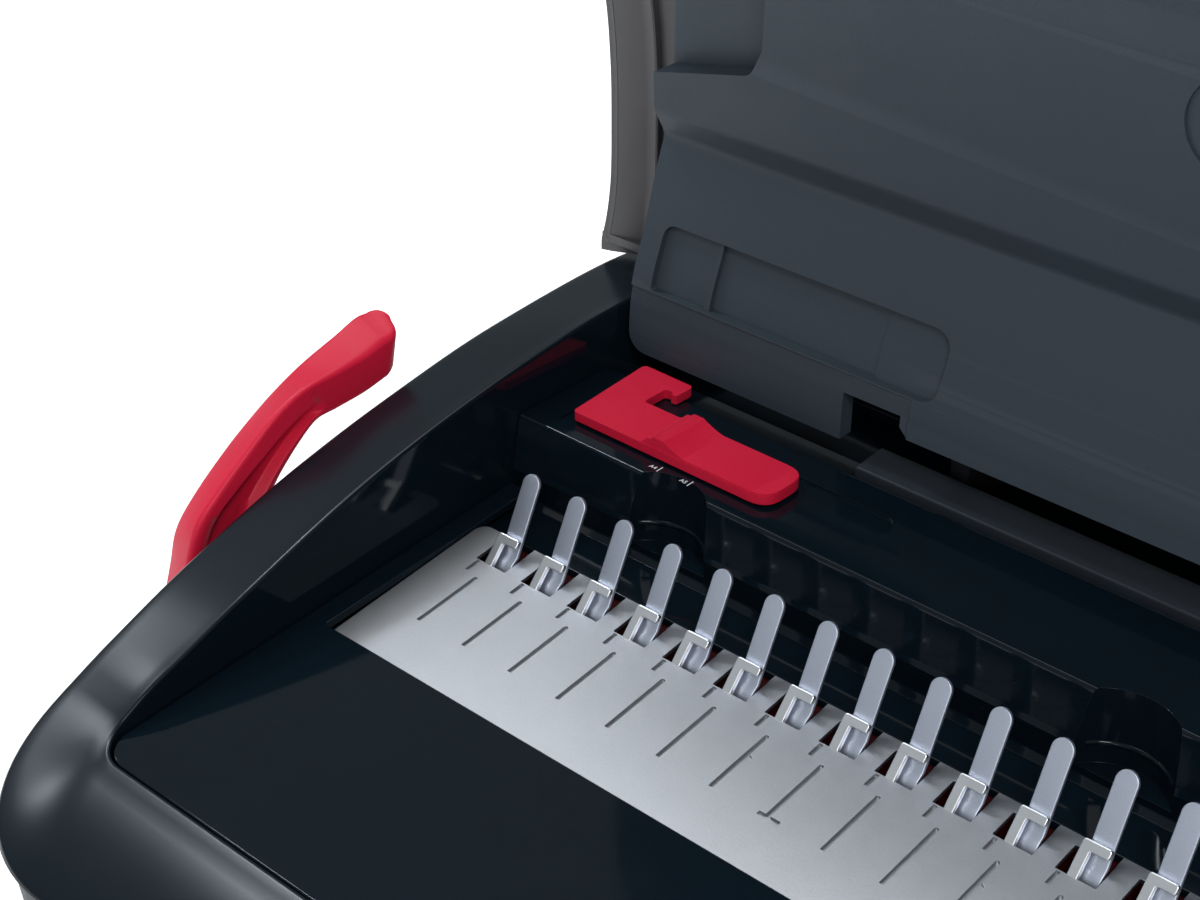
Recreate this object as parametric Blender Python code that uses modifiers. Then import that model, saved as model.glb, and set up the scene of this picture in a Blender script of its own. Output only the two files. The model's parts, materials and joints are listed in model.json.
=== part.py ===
"""Manual comb binding machine: a punch for 21 rectangular holes and a comb opener, worked by one side lever.

Units: every dimension below is in millimetres and MM turns it into metres.
Frame: X runs along the row of blades, Y runs from the user to the rear, Z is up. The origin is the middle of
the footprint, on the table. The lever sticks out on the left, so the middle of the row of blades is at
x = ROW_SHIFT_X; everything is drawn about the row's middle and then moved there. The comb plate slopes, so
its pieces are drawn in plate coordinates: x along the row, u up the slope towards the rear, n square to the
plate. The lid's pieces are drawn open, as they stand.
"""
import math

import bmesh
import bpy
import numpy as np
from mathutils import Matrix, Vector

MM = 0.001
GAP = 0.3
ROW_SHIFT_X = 8.2

# ---- driving dimensions -------------------------------------------------------------------------------
TINES = 21
PITCH = 14.2875
PLATE_ANGLE = math.radians(6.6)
PLATE_HEIGHT = 72.0
PLATE_HALF_WIDTH = 155.3
DECK_ANGLE = math.radians(4.2)
DECK_FRONT_Y = -98.5
DECK_REAR_Y = 26.0
WALL_X = 162.0

BODY_HALF_WIDTH = 185.0
BODY_FRONT_Y = -128.0
BODY_REAR_Y = 128.0
BODY_CORNER = 40.0
WELL_REAR_Y = 104.0
SPLIT_Z = 54.0
FOOT_HEIGHT = 3.0
WALL = 2.6

SHELF_Z = 92.2
SHELF_FRONT_Y = 30.0
SLOT_FRONT_Y = 61.5
SLOT_REAR_Y = 64.7

LEVER_AXIS = (-46.0, 42.0)
LID_AXIS = (76.0, 104.0)
LID_DATUM = (84.0, 106.0)
OPENER_PITCH_RADIUS = 12.0
OPENER_TEETH = 16
PUNCH_PITCH_RADIUS = 7.5
PUNCH_TEETH = 12
SHAFT_RADIUS = 4.0

SHELL_HALF_WIDTH = 186.0
SHELL_BOTTOM_V = 2.6
SHELL_FLARE = 3.0
SHELL_TOP_V = 192.0
SHELL_CORNER = 38.0
SHELL_THICKNESS = 2.2
PANEL_HALF_WIDTH = 160.0
PANEL_THICKNESS = 5.0


# ---- scene set-up -------------------------------------------------------------------------------------
for leftover in list(bpy.data.objects):
    bpy.data.objects.remove(leftover, do_unlink=True)

machine = bpy.data.collections.new("comb_binding_machine")
cutters = bpy.data.collections.new("cutters")
bpy.context.scene.collection.children.link(machine)
bpy.context.scene.collection.children.link(cutters)


def material(name, colour, roughness, metallic=0.0):
    made = bpy.data.materials.new(name)
    made.use_nodes = True
    shader = made.node_tree.nodes["Principled BSDF"]
    shader.inputs["Base Color"].default_value = (*colour, 1.0)
    shader.inputs["Roughness"].default_value = roughness
    shader.inputs["Metallic"].default_value = metallic
    return made


BLACK_GLOSS = material("black_gloss_plastic", (0.012, 0.017, 0.022), 0.12)
BLACK_MATTE = material("black_matte_plastic", (0.018, 0.020, 0.023), 0.55)
RED = material("red_plastic", (0.62, 0.012, 0.035), 0.32)
SLATE = material("slate_plastic", (0.052, 0.063, 0.078), 0.5)
SHELL_GREY = material("warm_grey_plastic", (0.075, 0.070, 0.068), 0.45)
PLATE_STEEL = material("satin_steel", (0.47, 0.48, 0.51), 0.34, 1.0)
FRAME_STEEL = material("zinc_steel", (0.42, 0.43, 0.44), 0.42, 1.0)
SHAFT_STEEL = material("ground_steel", (0.55, 0.55, 0.56), 0.25, 1.0)
NYLON = material("nylon", (0.72, 0.70, 0.64), 0.5)
RUBBER = material("rubber", (0.02, 0.02, 0.02), 0.85)


# ---- building helpers ---------------------------------------------------------------------------------
def place(name, mesh, look, matrix=None, pivot=None, collection=machine):
    """Link a mesh, in metres, as an object whose origin is its pivot, given in millimetres."""
    thing = bpy.data.objects.new(name, mesh)
    collection.objects.link(thing)
    if matrix is not None:
        mesh.transform(matrix)
    if pivot is not None:
        offset = Vector(pivot) * MM
        mesh.transform(Matrix.Translation(-offset))
        thing.location = offset
    mesh.materials.clear()
    mesh.materials.append(look)
    if collection is cutters:
        thing.hide_render = True
        thing.display_type = "WIRE"
    return thing


def mesh_from(bm, name):
    bmesh.ops.recalc_face_normals(bm, faces=bm.faces[:])
    mesh = bpy.data.meshes.new(name)
    bm.to_mesh(mesh)
    bm.free()
    return mesh


def box(name, low, high, look, **placing):
    """Box between two corners in millimetres."""
    low = Vector(low)
    high = Vector(high)
    bm = bmesh.new()
    size = Matrix.Diagonal((*((high - low) * MM), 1.0))
    centre = Matrix.Translation((low + high) * 0.5 * MM)
    bmesh.ops.create_cube(bm, size=1.0, matrix=centre @ size)
    return place(name, mesh_from(bm, name), look, **placing)


ALONG = {
    "X": Matrix(((0, 0, 1, 0), (1, 0, 0, 0), (0, 1, 0, 0), (0, 0, 0, 1))),
    "Y": Matrix(((0, 1, 0, 0), (0, 0, 1, 0), (1, 0, 0, 0), (0, 0, 0, 1))),
    "Z": Matrix.Identity(4),
}


def cylinder(name, centre, radius, low, high, look, axis="X", sides=24, tip_radius=None, **placing):
    """Cylinder or cone about an axis through centre, a pair in the two other directions."""
    bm = bmesh.new()
    shift = Matrix.Translation((centre[0] * MM, centre[1] * MM, (low + high) * 0.5 * MM))
    bmesh.ops.create_cone(bm, cap_ends=True, segments=sides, radius1=radius * MM,
                          radius2=(radius if tip_radius is None else tip_radius) * MM,
                          depth=(high - low) * MM, matrix=ALONG[axis] @ shift)
    return place(name, mesh_from(bm, name), look, **placing)


def prism(name, outline, low, high, look, axis="X", holes=(), **placing):
    """Flat outline, with optional holes, extruded from low to high along an axis, from a filled 2D curve."""
    curve = bpy.data.curves.new(name, "CURVE")
    curve.dimensions = "2D"
    curve.fill_mode = "BOTH"
    curve.extrude = (high - low) * 0.5 * MM
    for loop in (outline, *holes):
        spline = curve.splines.new("POLY")
        spline.points.add(len(loop) - 1)
        for point, (a, b) in zip(spline.points, loop):
            point.co = (a * MM, b * MM, 0.0, 1.0)
        spline.use_cyclic_u = True
    mesh = curve_to_mesh(name, curve)
    mesh.transform(ALONG[axis] @ Matrix.Translation((0.0, 0.0, (low + high) * 0.5 * MM)))
    return place(name, mesh, look, **placing)


def curve_to_mesh(name, curve):
    """Mesh of a curve, with its loose caps welded on."""
    carrier = bpy.data.objects.new(name + "_curve", curve)
    bpy.context.scene.collection.objects.link(carrier)
    graph = bpy.context.evaluated_depsgraph_get()
    mesh = bpy.data.meshes.new_from_object(carrier.evaluated_get(graph))
    bpy.data.objects.remove(carrier, do_unlink=True)
    bm = bmesh.new()
    bm.from_mesh(mesh)
    bmesh.ops.remove_doubles(bm, verts=bm.verts[:], dist=0.000002)
    bmesh.ops.recalc_face_normals(bm, faces=bm.faces[:])
    bm.to_mesh(mesh)
    bm.free()
    return mesh


def loft(name, rings, look, close_rings=False, **placing):
    """Skin a list of rings, each a closed loop of (x, y, z) points, with caps or as a closed tube."""
    bm = bmesh.new()
    rows = [[bm.verts.new(Vector(point) * MM) for point in ring] for ring in rings]
    count = len(rows[0])
    spans = len(rows) if close_rings else len(rows) - 1
    for i in range(spans):
        here = rows[i]
        there = rows[(i + 1) % len(rows)]
        for j in range(count):
            k = (j + 1) % count
            bm.faces.new((here[j], here[k], there[k], there[j]))
    if not close_rings:
        bm.faces.new(rows[0][::-1])
        bm.faces.new(rows[-1])
    return place(name, mesh_from(bm, name), look, **placing)


def combine(target, other, operation):
    """Boolean with the EXACT solver, baked in, so that later steps see one plain mesh."""
    modifier = target.modifiers.new(operation.lower(), "BOOLEAN")
    modifier.operation = operation
    modifier.solver = "EXACT"
    modifier.object = other
    bpy.context.view_layer.update()
    graph = bpy.context.evaluated_depsgraph_get()
    mesh = bpy.data.meshes.new_from_object(target.evaluated_get(graph))
    target.modifiers.clear()
    target.data = mesh


def merge_flat_faces(target):
    """Dissolve the leftover edges inside flat faces, which a Boolean on a filled curve leaves behind."""
    bm = bmesh.new()
    bm.from_mesh(target.data)
    bmesh.ops.dissolve_limit(bm, angle_limit=math.radians(0.2), use_dissolve_boundaries=False,
                             verts=bm.verts[:], edges=bm.edges[:])
    bm.to_mesh(target.data)
    bm.free()


def cut(target, other):
    combine(target, other, "DIFFERENCE")


def join(target, other):
    combine(target, other, "UNION")
    bpy.data.objects.remove(other, do_unlink=True)


def gather(pieces):
    """Join closed pieces that do not touch each other into one object, to act as one tool."""
    bm = bmesh.new()
    for piece in pieces:
        before = len(bm.verts)
        bm.from_mesh(piece.data)
        bm.verts.ensure_lookup_table()
        fresh = bm.verts[before:]
        bmesh.ops.transform(bm, matrix=Matrix.Translation(piece.location), verts=fresh)
    merged = bpy.data.meshes.new(pieces[0].name)
    bm.to_mesh(merged)
    bm.free()
    keep = pieces[0]
    for piece in pieces[1:]:
        bpy.data.objects.remove(piece, do_unlink=True)
    keep.location = (0.0, 0.0, 0.0)
    keep.data = merged
    return keep


def smooth_curve(xs, ys):
    """Monotone cubic through a few points, so a sweep has no bumps between them."""
    xs = np.array(xs, float)
    ys = np.array(ys, float)
    step = np.diff(xs)
    slope = np.diff(ys) / step
    tangent = np.empty(len(xs))
    tangent[0] = slope[0]
    tangent[-1] = slope[-1]
    for i in range(1, len(xs) - 1):
        rising = slope[i - 1] * slope[i] > 0
        tangent[i] = 2 * slope[i - 1] * slope[i] / (slope[i - 1] + slope[i]) if rising else 0.0

    def value(x):
        x = min(max(x, xs[0]), xs[-1])
        i = min(int(np.searchsorted(xs, x, side="right")) - 1, len(xs) - 2)
        t = (x - xs[i]) / step[i]
        a = (1 + 2 * t) * (1 - t) ** 2 * ys[i]
        b = t * (1 - t) ** 2 * step[i] * tangent[i]
        c = t * t * (3 - 2 * t) * ys[i + 1]
        d = t * t * (t - 1) * step[i] * tangent[i + 1]
        return float(a + b + c + d)

    return value


def arc(centre, radius, start, end, steps):
    """Points on an arc, angles in degrees."""
    points = []
    for i in range(steps + 1):
        angle = math.radians(start + (end - start) * i / steps)
        points.append((centre[0] + radius * math.cos(angle), centre[1] + radius * math.sin(angle)))
    return points


def plan_loop(half_width, front, rear, front_corner, rear_corner, side_steps=10, end_steps=2, corner_steps=6):
    """Rounded rectangle seen from above, from the middle of the right side, anticlockwise."""
    points = []
    ys = np.linspace(front + front_corner, rear - rear_corner, side_steps + 1)
    xs = np.linspace(half_width - rear_corner, -half_width + rear_corner, end_steps + 1)
    points += [(half_width, y) for y in ys[:-1]]
    points += arc((half_width - rear_corner, rear - rear_corner), rear_corner, 0, 90, corner_steps)[:-1]
    points += [(x, rear) for x in xs[:-1]]
    points += arc((-half_width + rear_corner, rear - rear_corner), rear_corner, 90, 180, corner_steps)[:-1]
    points += [(-half_width, y) for y in ys[::-1][:-1]]
    bend = front_corner
    points += arc((-half_width + bend, front + bend), bend, 180, 270, corner_steps)[:-1]
    xs = np.linspace(-half_width + bend, half_width - bend, end_steps + 1)
    points += [(x, front) for x in xs[:-1]]
    points += arc((half_width - bend, front + bend), bend, 270, 360, corner_steps)[:-1]
    return points


PLATE = Matrix.Translation((0.0, 0.0, PLATE_HEIGHT * MM)) @ Matrix.Rotation(PLATE_ANGLE, 4, "X")
tine_x = [(i - (TINES - 1) / 2) * PITCH for i in range(TINES)]

# ---- outer casing -------------------------------------------------------------------------------------
inner_edge_z = smooth_curve((-98.5, -94, -83, -72, -57.5, -15, 10, 37, 60, 80, 104),
                            (66.2, 67.6, 73.2, 77.4, 83.0, 96.5, 101.6, 105.4, 107.4, 107.6, 106.0))
crest_z = smooth_curve((-128, -112, -94, -79, -57, -24, 6, 43, 84, 110, 128),
                       (56.0, 59.5, 64.6, 71.3, 80.3, 91.0, 97.5, 103.0, 105.2, 103.0, 97.0))


def upper_casing():
    """Rim ring: a glossy skin that rises in one sweep from the front nose to the hinge end."""
    outer = plan_loop(BODY_HALF_WIDTH, BODY_FRONT_Y, BODY_REAR_Y, BODY_CORNER, 30.0)
    inner = plan_loop(WALL_X, DECK_FRONT_Y, WELL_REAR_Y, 8.0, 1.5)
    rings = []
    for (ox, oy), (ix, iy) in zip(outer, inner):
        out_point = Vector((ox, oy, 0.0))
        across = Vector((ix - ox, iy - oy, 0.0))
        inward = across.normalized()
        width = across.length
        top_out = crest_z(oy)
        top_in = inner_edge_z(iy)

        def at(distance, height):
            spot = out_point + inward * distance
            return (spot.x, spot.y, height)

        def skin(share):
            return top_out + (top_in - top_out) * share + 1.6 * math.sin(math.pi * share) ** 0.8

        rings.append([
            at(1.2, SPLIT_Z),
            at(0.0, SPLIT_Z + (top_out - SPLIT_Z) * 0.6),
            at(0.6, top_out - 0.7),
            at(2.6, skin(0.12)),
            at(0.3 * width, skin(0.3)),
            at(0.55 * width, skin(0.55)),
            at(0.8 * width, skin(0.8)),
            at(width - 0.5, top_in),
            at(width, top_in - 0.6),
            at(width, 60.0),
            at(width - 2.0, 60.0),
            at(width - 2.2, top_in - 3.0),
            at(0.5 * width, skin(0.5) - WALL),
            at(4.0, max(SPLIT_Z + 1.0, skin(0.15) - 4.0)),
            at(1.2 + WALL, SPLIT_Z),
        ])
    return loft("upper_casing", rings, BLACK_GLOSS, close_rings=True)


def casing_loop(inset, height):
    loop = plan_loop(BODY_HALF_WIDTH - inset, BODY_FRONT_Y + inset, BODY_REAR_Y - inset,
                     BODY_CORNER - inset, 30.0 - inset, side_steps=3, end_steps=2)
    return [(x, y, height) for x, y in loop]


def lower_casing():
    """Bottom tub with drafted walls, a drawer opening at the rear and a hole for the lever shaft."""
    floor_z = FOOT_HEIGHT
    rings = [
        casing_loop(9.0, floor_z),
        casing_loop(6.5, floor_z + 2.5),
        casing_loop(1.6, SPLIT_Z - GAP),
        casing_loop(1.6 + WALL, SPLIT_Z - GAP),
        casing_loop(6.5 + WALL, floor_z + 3.5),
    ]
    tub = loft("lower_casing", rings, BLACK_MATTE)
    opening = box("drawer_opening", (-147.5, 100, 8), (147.5, 140, 37.5), BLACK_MATTE, collection=cutters)
    cut(tub, opening)
    hole = cylinder("shaft_hole", LEVER_AXIS, 5.5, -200, -160, BLACK_MATTE, collection=cutters)
    cut(tub, hole)
    return tub


def deck_z(y):
    return PLATE_HEIGHT - 1.9 + math.tan(DECK_ANGLE) * (y + 39.0)


def front_deck():
    """U-shaped cover: the area in front of the comb plate and a strip along each of its ends."""
    side = WALL_X - GAP - 0.2
    strip = PLATE_HALF_WIDTH + GAP
    front = DECK_FRONT_Y + 0.4
    bend = 7.6
    outline = arc((-side + bend, front + bend), bend, 180, 270, 5)
    outline += arc((side - bend, front + bend), bend, 270, 360, 5)
    outline += [(side, DECK_REAR_Y), (strip, DECK_REAR_Y), (strip, -39.3), (-strip, -39.3)]
    outline += [(-strip, DECK_REAR_Y), (-side, DECK_REAR_Y)]
    deck = prism("front_deck", outline, -2.1, 0.0, BLACK_GLOSS, axis="Z")
    for vertex in deck.data.vertices:
        vertex.co.z += deck_z(vertex.co.y / MM) * MM
    return deck


SCOOPS = (-113.0, 7.5, 128.0)
GUIDE_FRONT_Y = 36.0


def punch_cover():
    """Floor of the comb channel, front wall, and shelf over the punch with three thumb scoops in its edge."""
    profile = [
        (14.2, 67.4), (14.2, 69.2), (26.6, 69.8), (28.2, 71.2), (27.0, 77.2), (26.6, 78.6), (27.2, 80.0),
        (29.4, 91.2), (30.6, SHELF_Z), (60.4, SHELF_Z), (SLOT_FRONT_Y - 0.1, SHELF_Z - 1.2),
        (SLOT_FRONT_Y - 0.1, 72.0), (59.4, 72.0), (59.4, SHELF_Z - 2.4), (32.0, SHELF_Z - 2.4), (29.6, 78.6),
        (30.2, 70.6), (28.4, 67.4),
    ]
    cover = prism("punch_cover", profile, -WALL_X + 0.4, WALL_X - 0.4, BLACK_GLOSS)
    shells = []
    hollows = []
    for x in SCOOPS:
        rim = arc((x, 29.9), 12.0, 0, 180, 12)
        shells.append(prism("scoop_shell", rim, 77.0, SHELF_Z - 1.0, BLACK_GLOSS, axis="Z"))
        bowl = arc((x, 21.0), 13.0, 0, 360, 28)[:-1]
        hollows.append(prism("scoop_hollow", bowl, 72.6, 100.0, BLACK_GLOSS, axis="Z", collection=cutters))
    for shell in shells:
        join(cover, shell)
    cut(cover, gather(hollows))
    front = GUIDE_FRONT_Y - 1.2
    track = [(-153.5, front), (-72.0, front), *arc((-72.0, front + 5.6), 5.6, -90, 0, 5)[1:]]
    track += [*arc((-69.6, 49.2), 3.2, 0, 90, 4), (-153.5, 52.4)]
    cut(cover, prism("guide_track", track, SHELF_Z - 0.6, SHELF_Z + 3.0, BLACK_GLOSS, axis="Z",
                     collection=cutters))
    return cover


def rear_covers():
    """The block behind the paper slot, the lower ledge to its left, and the floor of the lid's well."""
    right = WALL_X - 0.4
    block = [(SLOT_REAR_Y, 71.0), (SLOT_REAR_Y, 91.4), (66.0, SHELF_Z), (74.0, SHELF_Z + 0.5),
             (75.0, SHELF_Z), (75.0, 84.4), (72.6, 84.4), (72.6, 90.0), (67.2, 89.6), (67.2, 71.0)]
    prism("paper_back_guide", block, -88.0, right, BLACK_GLOSS)
    ledge = [(SLOT_REAR_Y, 71.0), (SLOT_REAR_Y, 85.4), (65.4, 86.0), (75.0, 86.0), (75.0, 83.6), (67.2, 83.6),
             (67.2, 71.0)]
    prism("throat_ledge", ledge, -right, -88.0 - GAP, BLACK_GLOSS)
    floor = [(76.0, 79.6), (76.0, 82.0), (100.0, 82.0), (101.4, 83.4), (101.4, 98.0), (103.4, 98.0),
             (103.4, 81.4), (101.6, 79.6)]
    prism("lid_well", floor, -right, right, BLACK_GLOSS)


# ---- comb plate, blades and opener --------------------------------------------------------------------
CUTOUT_HALF = 4.565
CUTOUT_LENGTH = 7.44
PLATE_REAR_U = 10.2
PLATE_FRONT_U = -46.0
PLATE_THICKNESS = 1.0
FOOTED_SLOTS = (7, 13)
NOTCHED_SLOTS = (6, 10, 14)


def plate_openings(x, foot=False, notch=False):
    """Cutters for one tine: the cut-out, a slot to the rear edge just wider than the blade, a long slot.

    A long slot may end in a cross foot, or have a half-round notch in its side.
    """
    right = x + CUTOUT_HALF
    left = right - 4.6
    deep = PLATE_THICKNESS + 1.0
    window = [(x - CUTOUT_HALF, 0.0), (right - 8.5, 0.0), (right - 8.5, -4.4), (right - 7.5, -4.4),
              (right - 7.5, 0.0), (right, 0.0), (right, CUTOUT_LENGTH), (right - 0.1, CUTOUT_LENGTH + 0.1),
              (right - 0.1, PLATE_REAR_U + 2), (right - 5.8, PLATE_REAR_U + 2), (right - 5.8, CUTOUT_LENGTH),
              (x - CUTOUT_HALF, CUTOUT_LENGTH)]
    slot = [(left, -23.8), (left + 1.05, -23.8), *arc((left + 0.525, -5.6), 0.525, 0, 180, 2)]
    if foot:
        slot = [(left, -22.9), (left - 1.6, -22.9), (left - 1.6, -23.9), (left + 3.8, -23.9),
                (left + 3.8, -22.9), *slot[1:]]
        slot.remove((left + 1.05, -23.8))
        slot.insert(5, (left + 1.05, -22.9))
    if notch:
        bulge = arc((left + 1.05, -13.4), 1.5, -90, 90, 6)
        slot[2:2] = bulge
    return [
        prism("window", window, -deep, 1.0, PLATE_STEEL, axis="Z", collection=cutters),
        prism("slot", slot, -deep, 1.0, PLATE_STEEL, axis="Z", collection=cutters),
    ]


def hook(x):
    """L-shaped hook that leans back over a cut-out: a leg and an arm pointing to +X."""
    lean = math.radians(47.6)
    reach = 8.1
    left = x + CUTOUT_HALF - 6.47
    right = x + CUTOUT_HALF
    leg = 2.33
    outline = [(left, -0.4), (left + leg, -0.4), (left + leg, reach - 2.2), (right - 0.7, reach - 2.2),
               (right - 0.1, reach - 1.5), (right - 0.5, reach - 0.2), (right - 1.4, reach), (left, reach)]
    sheet = prism("hook", outline, -1.0, 0.0, PLATE_STEEL, axis="Z")
    stand = Matrix.Translation((0.0, -0.2 * MM, 0.0)) @ Matrix.Rotation(math.pi / 2 - lean, 4, "X")
    sheet.data.transform(stand)
    return sheet


def opener_plate():
    half = PLATE_HALF_WIDTH
    outline = [(-half, PLATE_FRONT_U), (half, PLATE_FRONT_U)]
    outline += arc((half - 3, PLATE_REAR_U - 3), 3.0, 0, 90, 4)
    outline += arc((-half + 3, PLATE_REAR_U - 3), 3.0, 90, 180, 4)
    plate = prism("opener_plate", outline, -PLATE_THICKNESS, 0.0, PLATE_STEEL, axis="Z")
    openings = []
    for i, x in enumerate(tine_x):
        openings += plate_openings(x, foot=i in FOOTED_SLOTS, notch=i in NOTCHED_SLOTS)
    cut(plate, gather(openings))
    join(plate, gather([hook(x) for x in tine_x]))
    merge_flat_faces(plate)
    plate.data.transform(PLATE)
    return plate


BLADE_HALF = 2.55
BLADE_THICKNESS = 1.0


def blade_path():
    """Front face of a blade in (u, n): up from the clamped strip, then leaning back to the tip."""
    path = [(1.6, -12.0), (1.6, -5.0), (1.9, -3.4), (2.6, -1.9), (3.45, -0.9)]
    top_n = 17.6
    for n in (0.6, 13.0, top_n):
        path.append((4.1 + 0.633 * n, n))
    return path


def blade(x):
    """One blade: a strip of spring steel with a round tip."""
    centre = x + CUTOUT_HALF - 2.95
    path = blade_path()
    tip_n = path[-1][1]
    fine = path[:-1]
    for share in (0.0, 0.45, 0.75, 0.93, 0.995):
        n = tip_n - BLADE_HALF * 0.84 * (1.0 - share)
        fine.append((4.1 + 0.633 * n, n))
    rings = []
    for i, (u, n) in enumerate(fine):
        a = fine[max(i - 1, 0)]
        b = fine[min(i + 1, len(fine) - 1)]
        along = Vector((b[0] - a[0], b[1] - a[1])).normalized()
        back = Vector((along.y, -along.x)) * BLADE_THICKNESS
        left_to_tip = max(0.0, (tip_n - n) / 0.84)
        half = BLADE_HALF
        if left_to_tip < BLADE_HALF:
            half = math.sqrt(max(BLADE_HALF ** 2 - (BLADE_HALF - left_to_tip) ** 2, 0.09))
        rings.append([(centre - half, u, n), (centre + half, u, n),
                      (centre + half, u + back.x, n + back.y), (centre - half, u + back.x, n + back.y)])
    return loft("blade", rings, PLATE_STEEL)


def blade_comb():
    strip = box("blade_comb", (-148.8, 1.6, -16.0), (148.8, 2.6, -9.0), PLATE_STEEL)
    blades = gather([blade(x) for x in tine_x])
    join(strip, blades)
    strip.data.transform(PLATE)
    return strip


def blade_holder():
    profile = [(2.9, -17.0), (13.0, -17.0), (13.0, -5.5), (11.5, -4.2), (5.4, -4.2), (2.9, -7.0)]
    holder = prism("blade_holder", profile, -148.8, 148.8, RED)
    holder.data.transform(PLATE)
    return holder


def opener_carriage():
    """Plastic carrier under the plate, screwed to it, with the two racks beneath."""
    carriage = box("opener_carriage", (-148, -60, -5.0), (148, -12, -PLATE_THICKNESS - GAP), BLACK_MATTE)
    windows = []
    for x0, x1 in ((-92, -50), (-44, -3), (3, 44), (50, 92)):
        windows.append(box("window", (x0, -54, -9), (x1, -20, 3), BLACK_MATTE, collection=cutters))
    cut(carriage, gather(windows))
    carriage.data.transform(PLATE)


def gear_outline(teeth, radius, backlash=0.12, pressure=math.radians(25), points=2):
    """Involute spur gear outline about the origin, first tooth on the +X side."""
    module = 2 * radius / teeth
    base = radius * math.cos(pressure)
    tip = radius + module * 0.92
    root = radius - module * 1.15
    involute_at_pitch = math.tan(pressure) - pressure
    half_tooth = math.pi / (2 * teeth) - backlash / (2 * radius)
    start = max(base, root)
    flank = []
    for i in range(points + 1):
        r = start + (tip - start) * i / points
        angle = math.acos(min(1.0, base / r))
        flank.append((r, half_tooth + involute_at_pitch - (math.tan(angle) - angle)))
    outline = []
    for k in range(teeth):
        turn = 2 * math.pi * k / teeth
        tooth = [(root, -half_tooth - involute_at_pitch)] if root < start else []
        tooth += [(r, -a) for r, a in flank]
        tooth += [(r, a) for r, a in reversed(flank)]
        tooth += [(root, half_tooth + involute_at_pitch)] if root < start else []
        outline += [(r * math.cos(turn + a), r * math.sin(turn + a)) for r, a in tooth]
    return outline


def rack_outline(teeth, module, back, first, backlash=0.12, pressure=math.radians(25)):
    """Rack drawn with its pitch line on v = 0 and teeth pointing to -v; first is the first tooth's centre."""
    step = math.pi * module
    add = module * 0.92
    ded = module * 1.15
    slope = math.tan(pressure)
    half = step / 4 - backlash / 2
    points = []
    for k in range(teeth):
        centre = first + k * step
        points += [(centre - half - ded * slope, ded), (centre - half + add * slope, -add)]
        points += [(centre + half - add * slope, -add), (centre + half + ded * slope, ded)]
    left = points[0][0] - 1.0
    right = points[-1][0] + 1.0
    return [(left, ded), *points, (right, ded), (right, back), (left, back)]


def to_plate(y, z):
    """Plate coordinates (u, n) of a world point in the Y-Z plane."""
    dy = y
    dz = z - PLATE_HEIGHT
    cos = math.cos(PLATE_ANGLE)
    sin = math.sin(PLATE_ANGLE)
    return (cos * dy + sin * dz, -sin * dy + cos * dz)


def drive_train():
    """Shaft, pinions and racks. A tooth gap of each pinion meets a rack tooth in the rest pose."""
    shaft_y, shaft_z = LEVER_AXIS
    axis_point = (-100.0, shaft_y, shaft_z)
    shaft = cylinder("main_shaft", LEVER_AXIS, SHAFT_RADIUS, -201.4, 154.0, SHAFT_STEEL, pivot=axis_point)
    opener_module = 2 * OPENER_PITCH_RADIUS / OPENER_TEETH
    punch_module = 2 * PUNCH_PITCH_RADIUS / PUNCH_TEETH
    u0, n0 = to_plate(shaft_y, shaft_z)

    def on_shaft(gear, aim):
        cos = math.cos(aim)
        sin = math.sin(aim)
        return [(a * cos - b * sin + shaft_y, a * sin + b * cos + shaft_z) for a, b in gear]

    for side, name in ((-1, "left"), (1, "right")):
        x = side * 105.0
        gear = gear_outline(OPENER_TEETH, OPENER_PITCH_RADIUS)
        aim = math.pi / 2 + PLATE_ANGLE + math.pi / OPENER_TEETH
        bore = arc((shaft_y, shaft_z), SHAFT_RADIUS + 0.06, 0, 360, 24)[:-1]
        centre = (x, shaft_y, shaft_z)
        prism("opener_pinion_" + name, on_shaft(gear, aim), x - 4, x + 4, NYLON, holes=[bore], pivot=centre)
        rack = rack_outline(8, opener_module, 7.1, u0 - math.pi * opener_module * 1.0)
        moved = [(u, n0 + OPENER_PITCH_RADIUS + v) for u, v in rack]
        made = prism("opener_rack_" + name, moved, x - 3.5, x + 3.5, NYLON)
        made.data.transform(PLATE)

        x = side * 122.0
        gear = gear_outline(PUNCH_TEETH, PUNCH_PITCH_RADIUS)
        aim = -math.pi / 2 + math.pi / PUNCH_TEETH
        centre = (x, shaft_y, shaft_z)
        prism("punch_pinion_" + name, on_shaft(gear, aim), x - 4, x + 4, SHAFT_STEEL, holes=[bore],
              pivot=centre)
        step = math.pi * punch_module
        rack = rack_outline(6, punch_module, 6.5, 0.0)
        moved = [(shaft_y - 4 * step + u, shaft_z - PUNCH_PITCH_RADIUS - v) for u, v in rack]
        teeth = prism("punch_rack_" + name, moved, x - 3.5, x + 3.5, FRAME_STEEL)
        low = shaft_z - PUNCH_PITCH_RADIUS - 6.5
        arm = [(-50.0, low), (41.6, low), (41.6, 42.7), (33.0, 42.7), (33.0, low + 4.4), (-50.0, low + 4.4)]
        join(teeth, prism("rack_arm", arm, x - 3.49, x + 3.49, FRAME_STEEL))
    return shaft


# ---- punch --------------------------------------------------------------------------------------------
PIN_Z = 50.0


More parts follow.
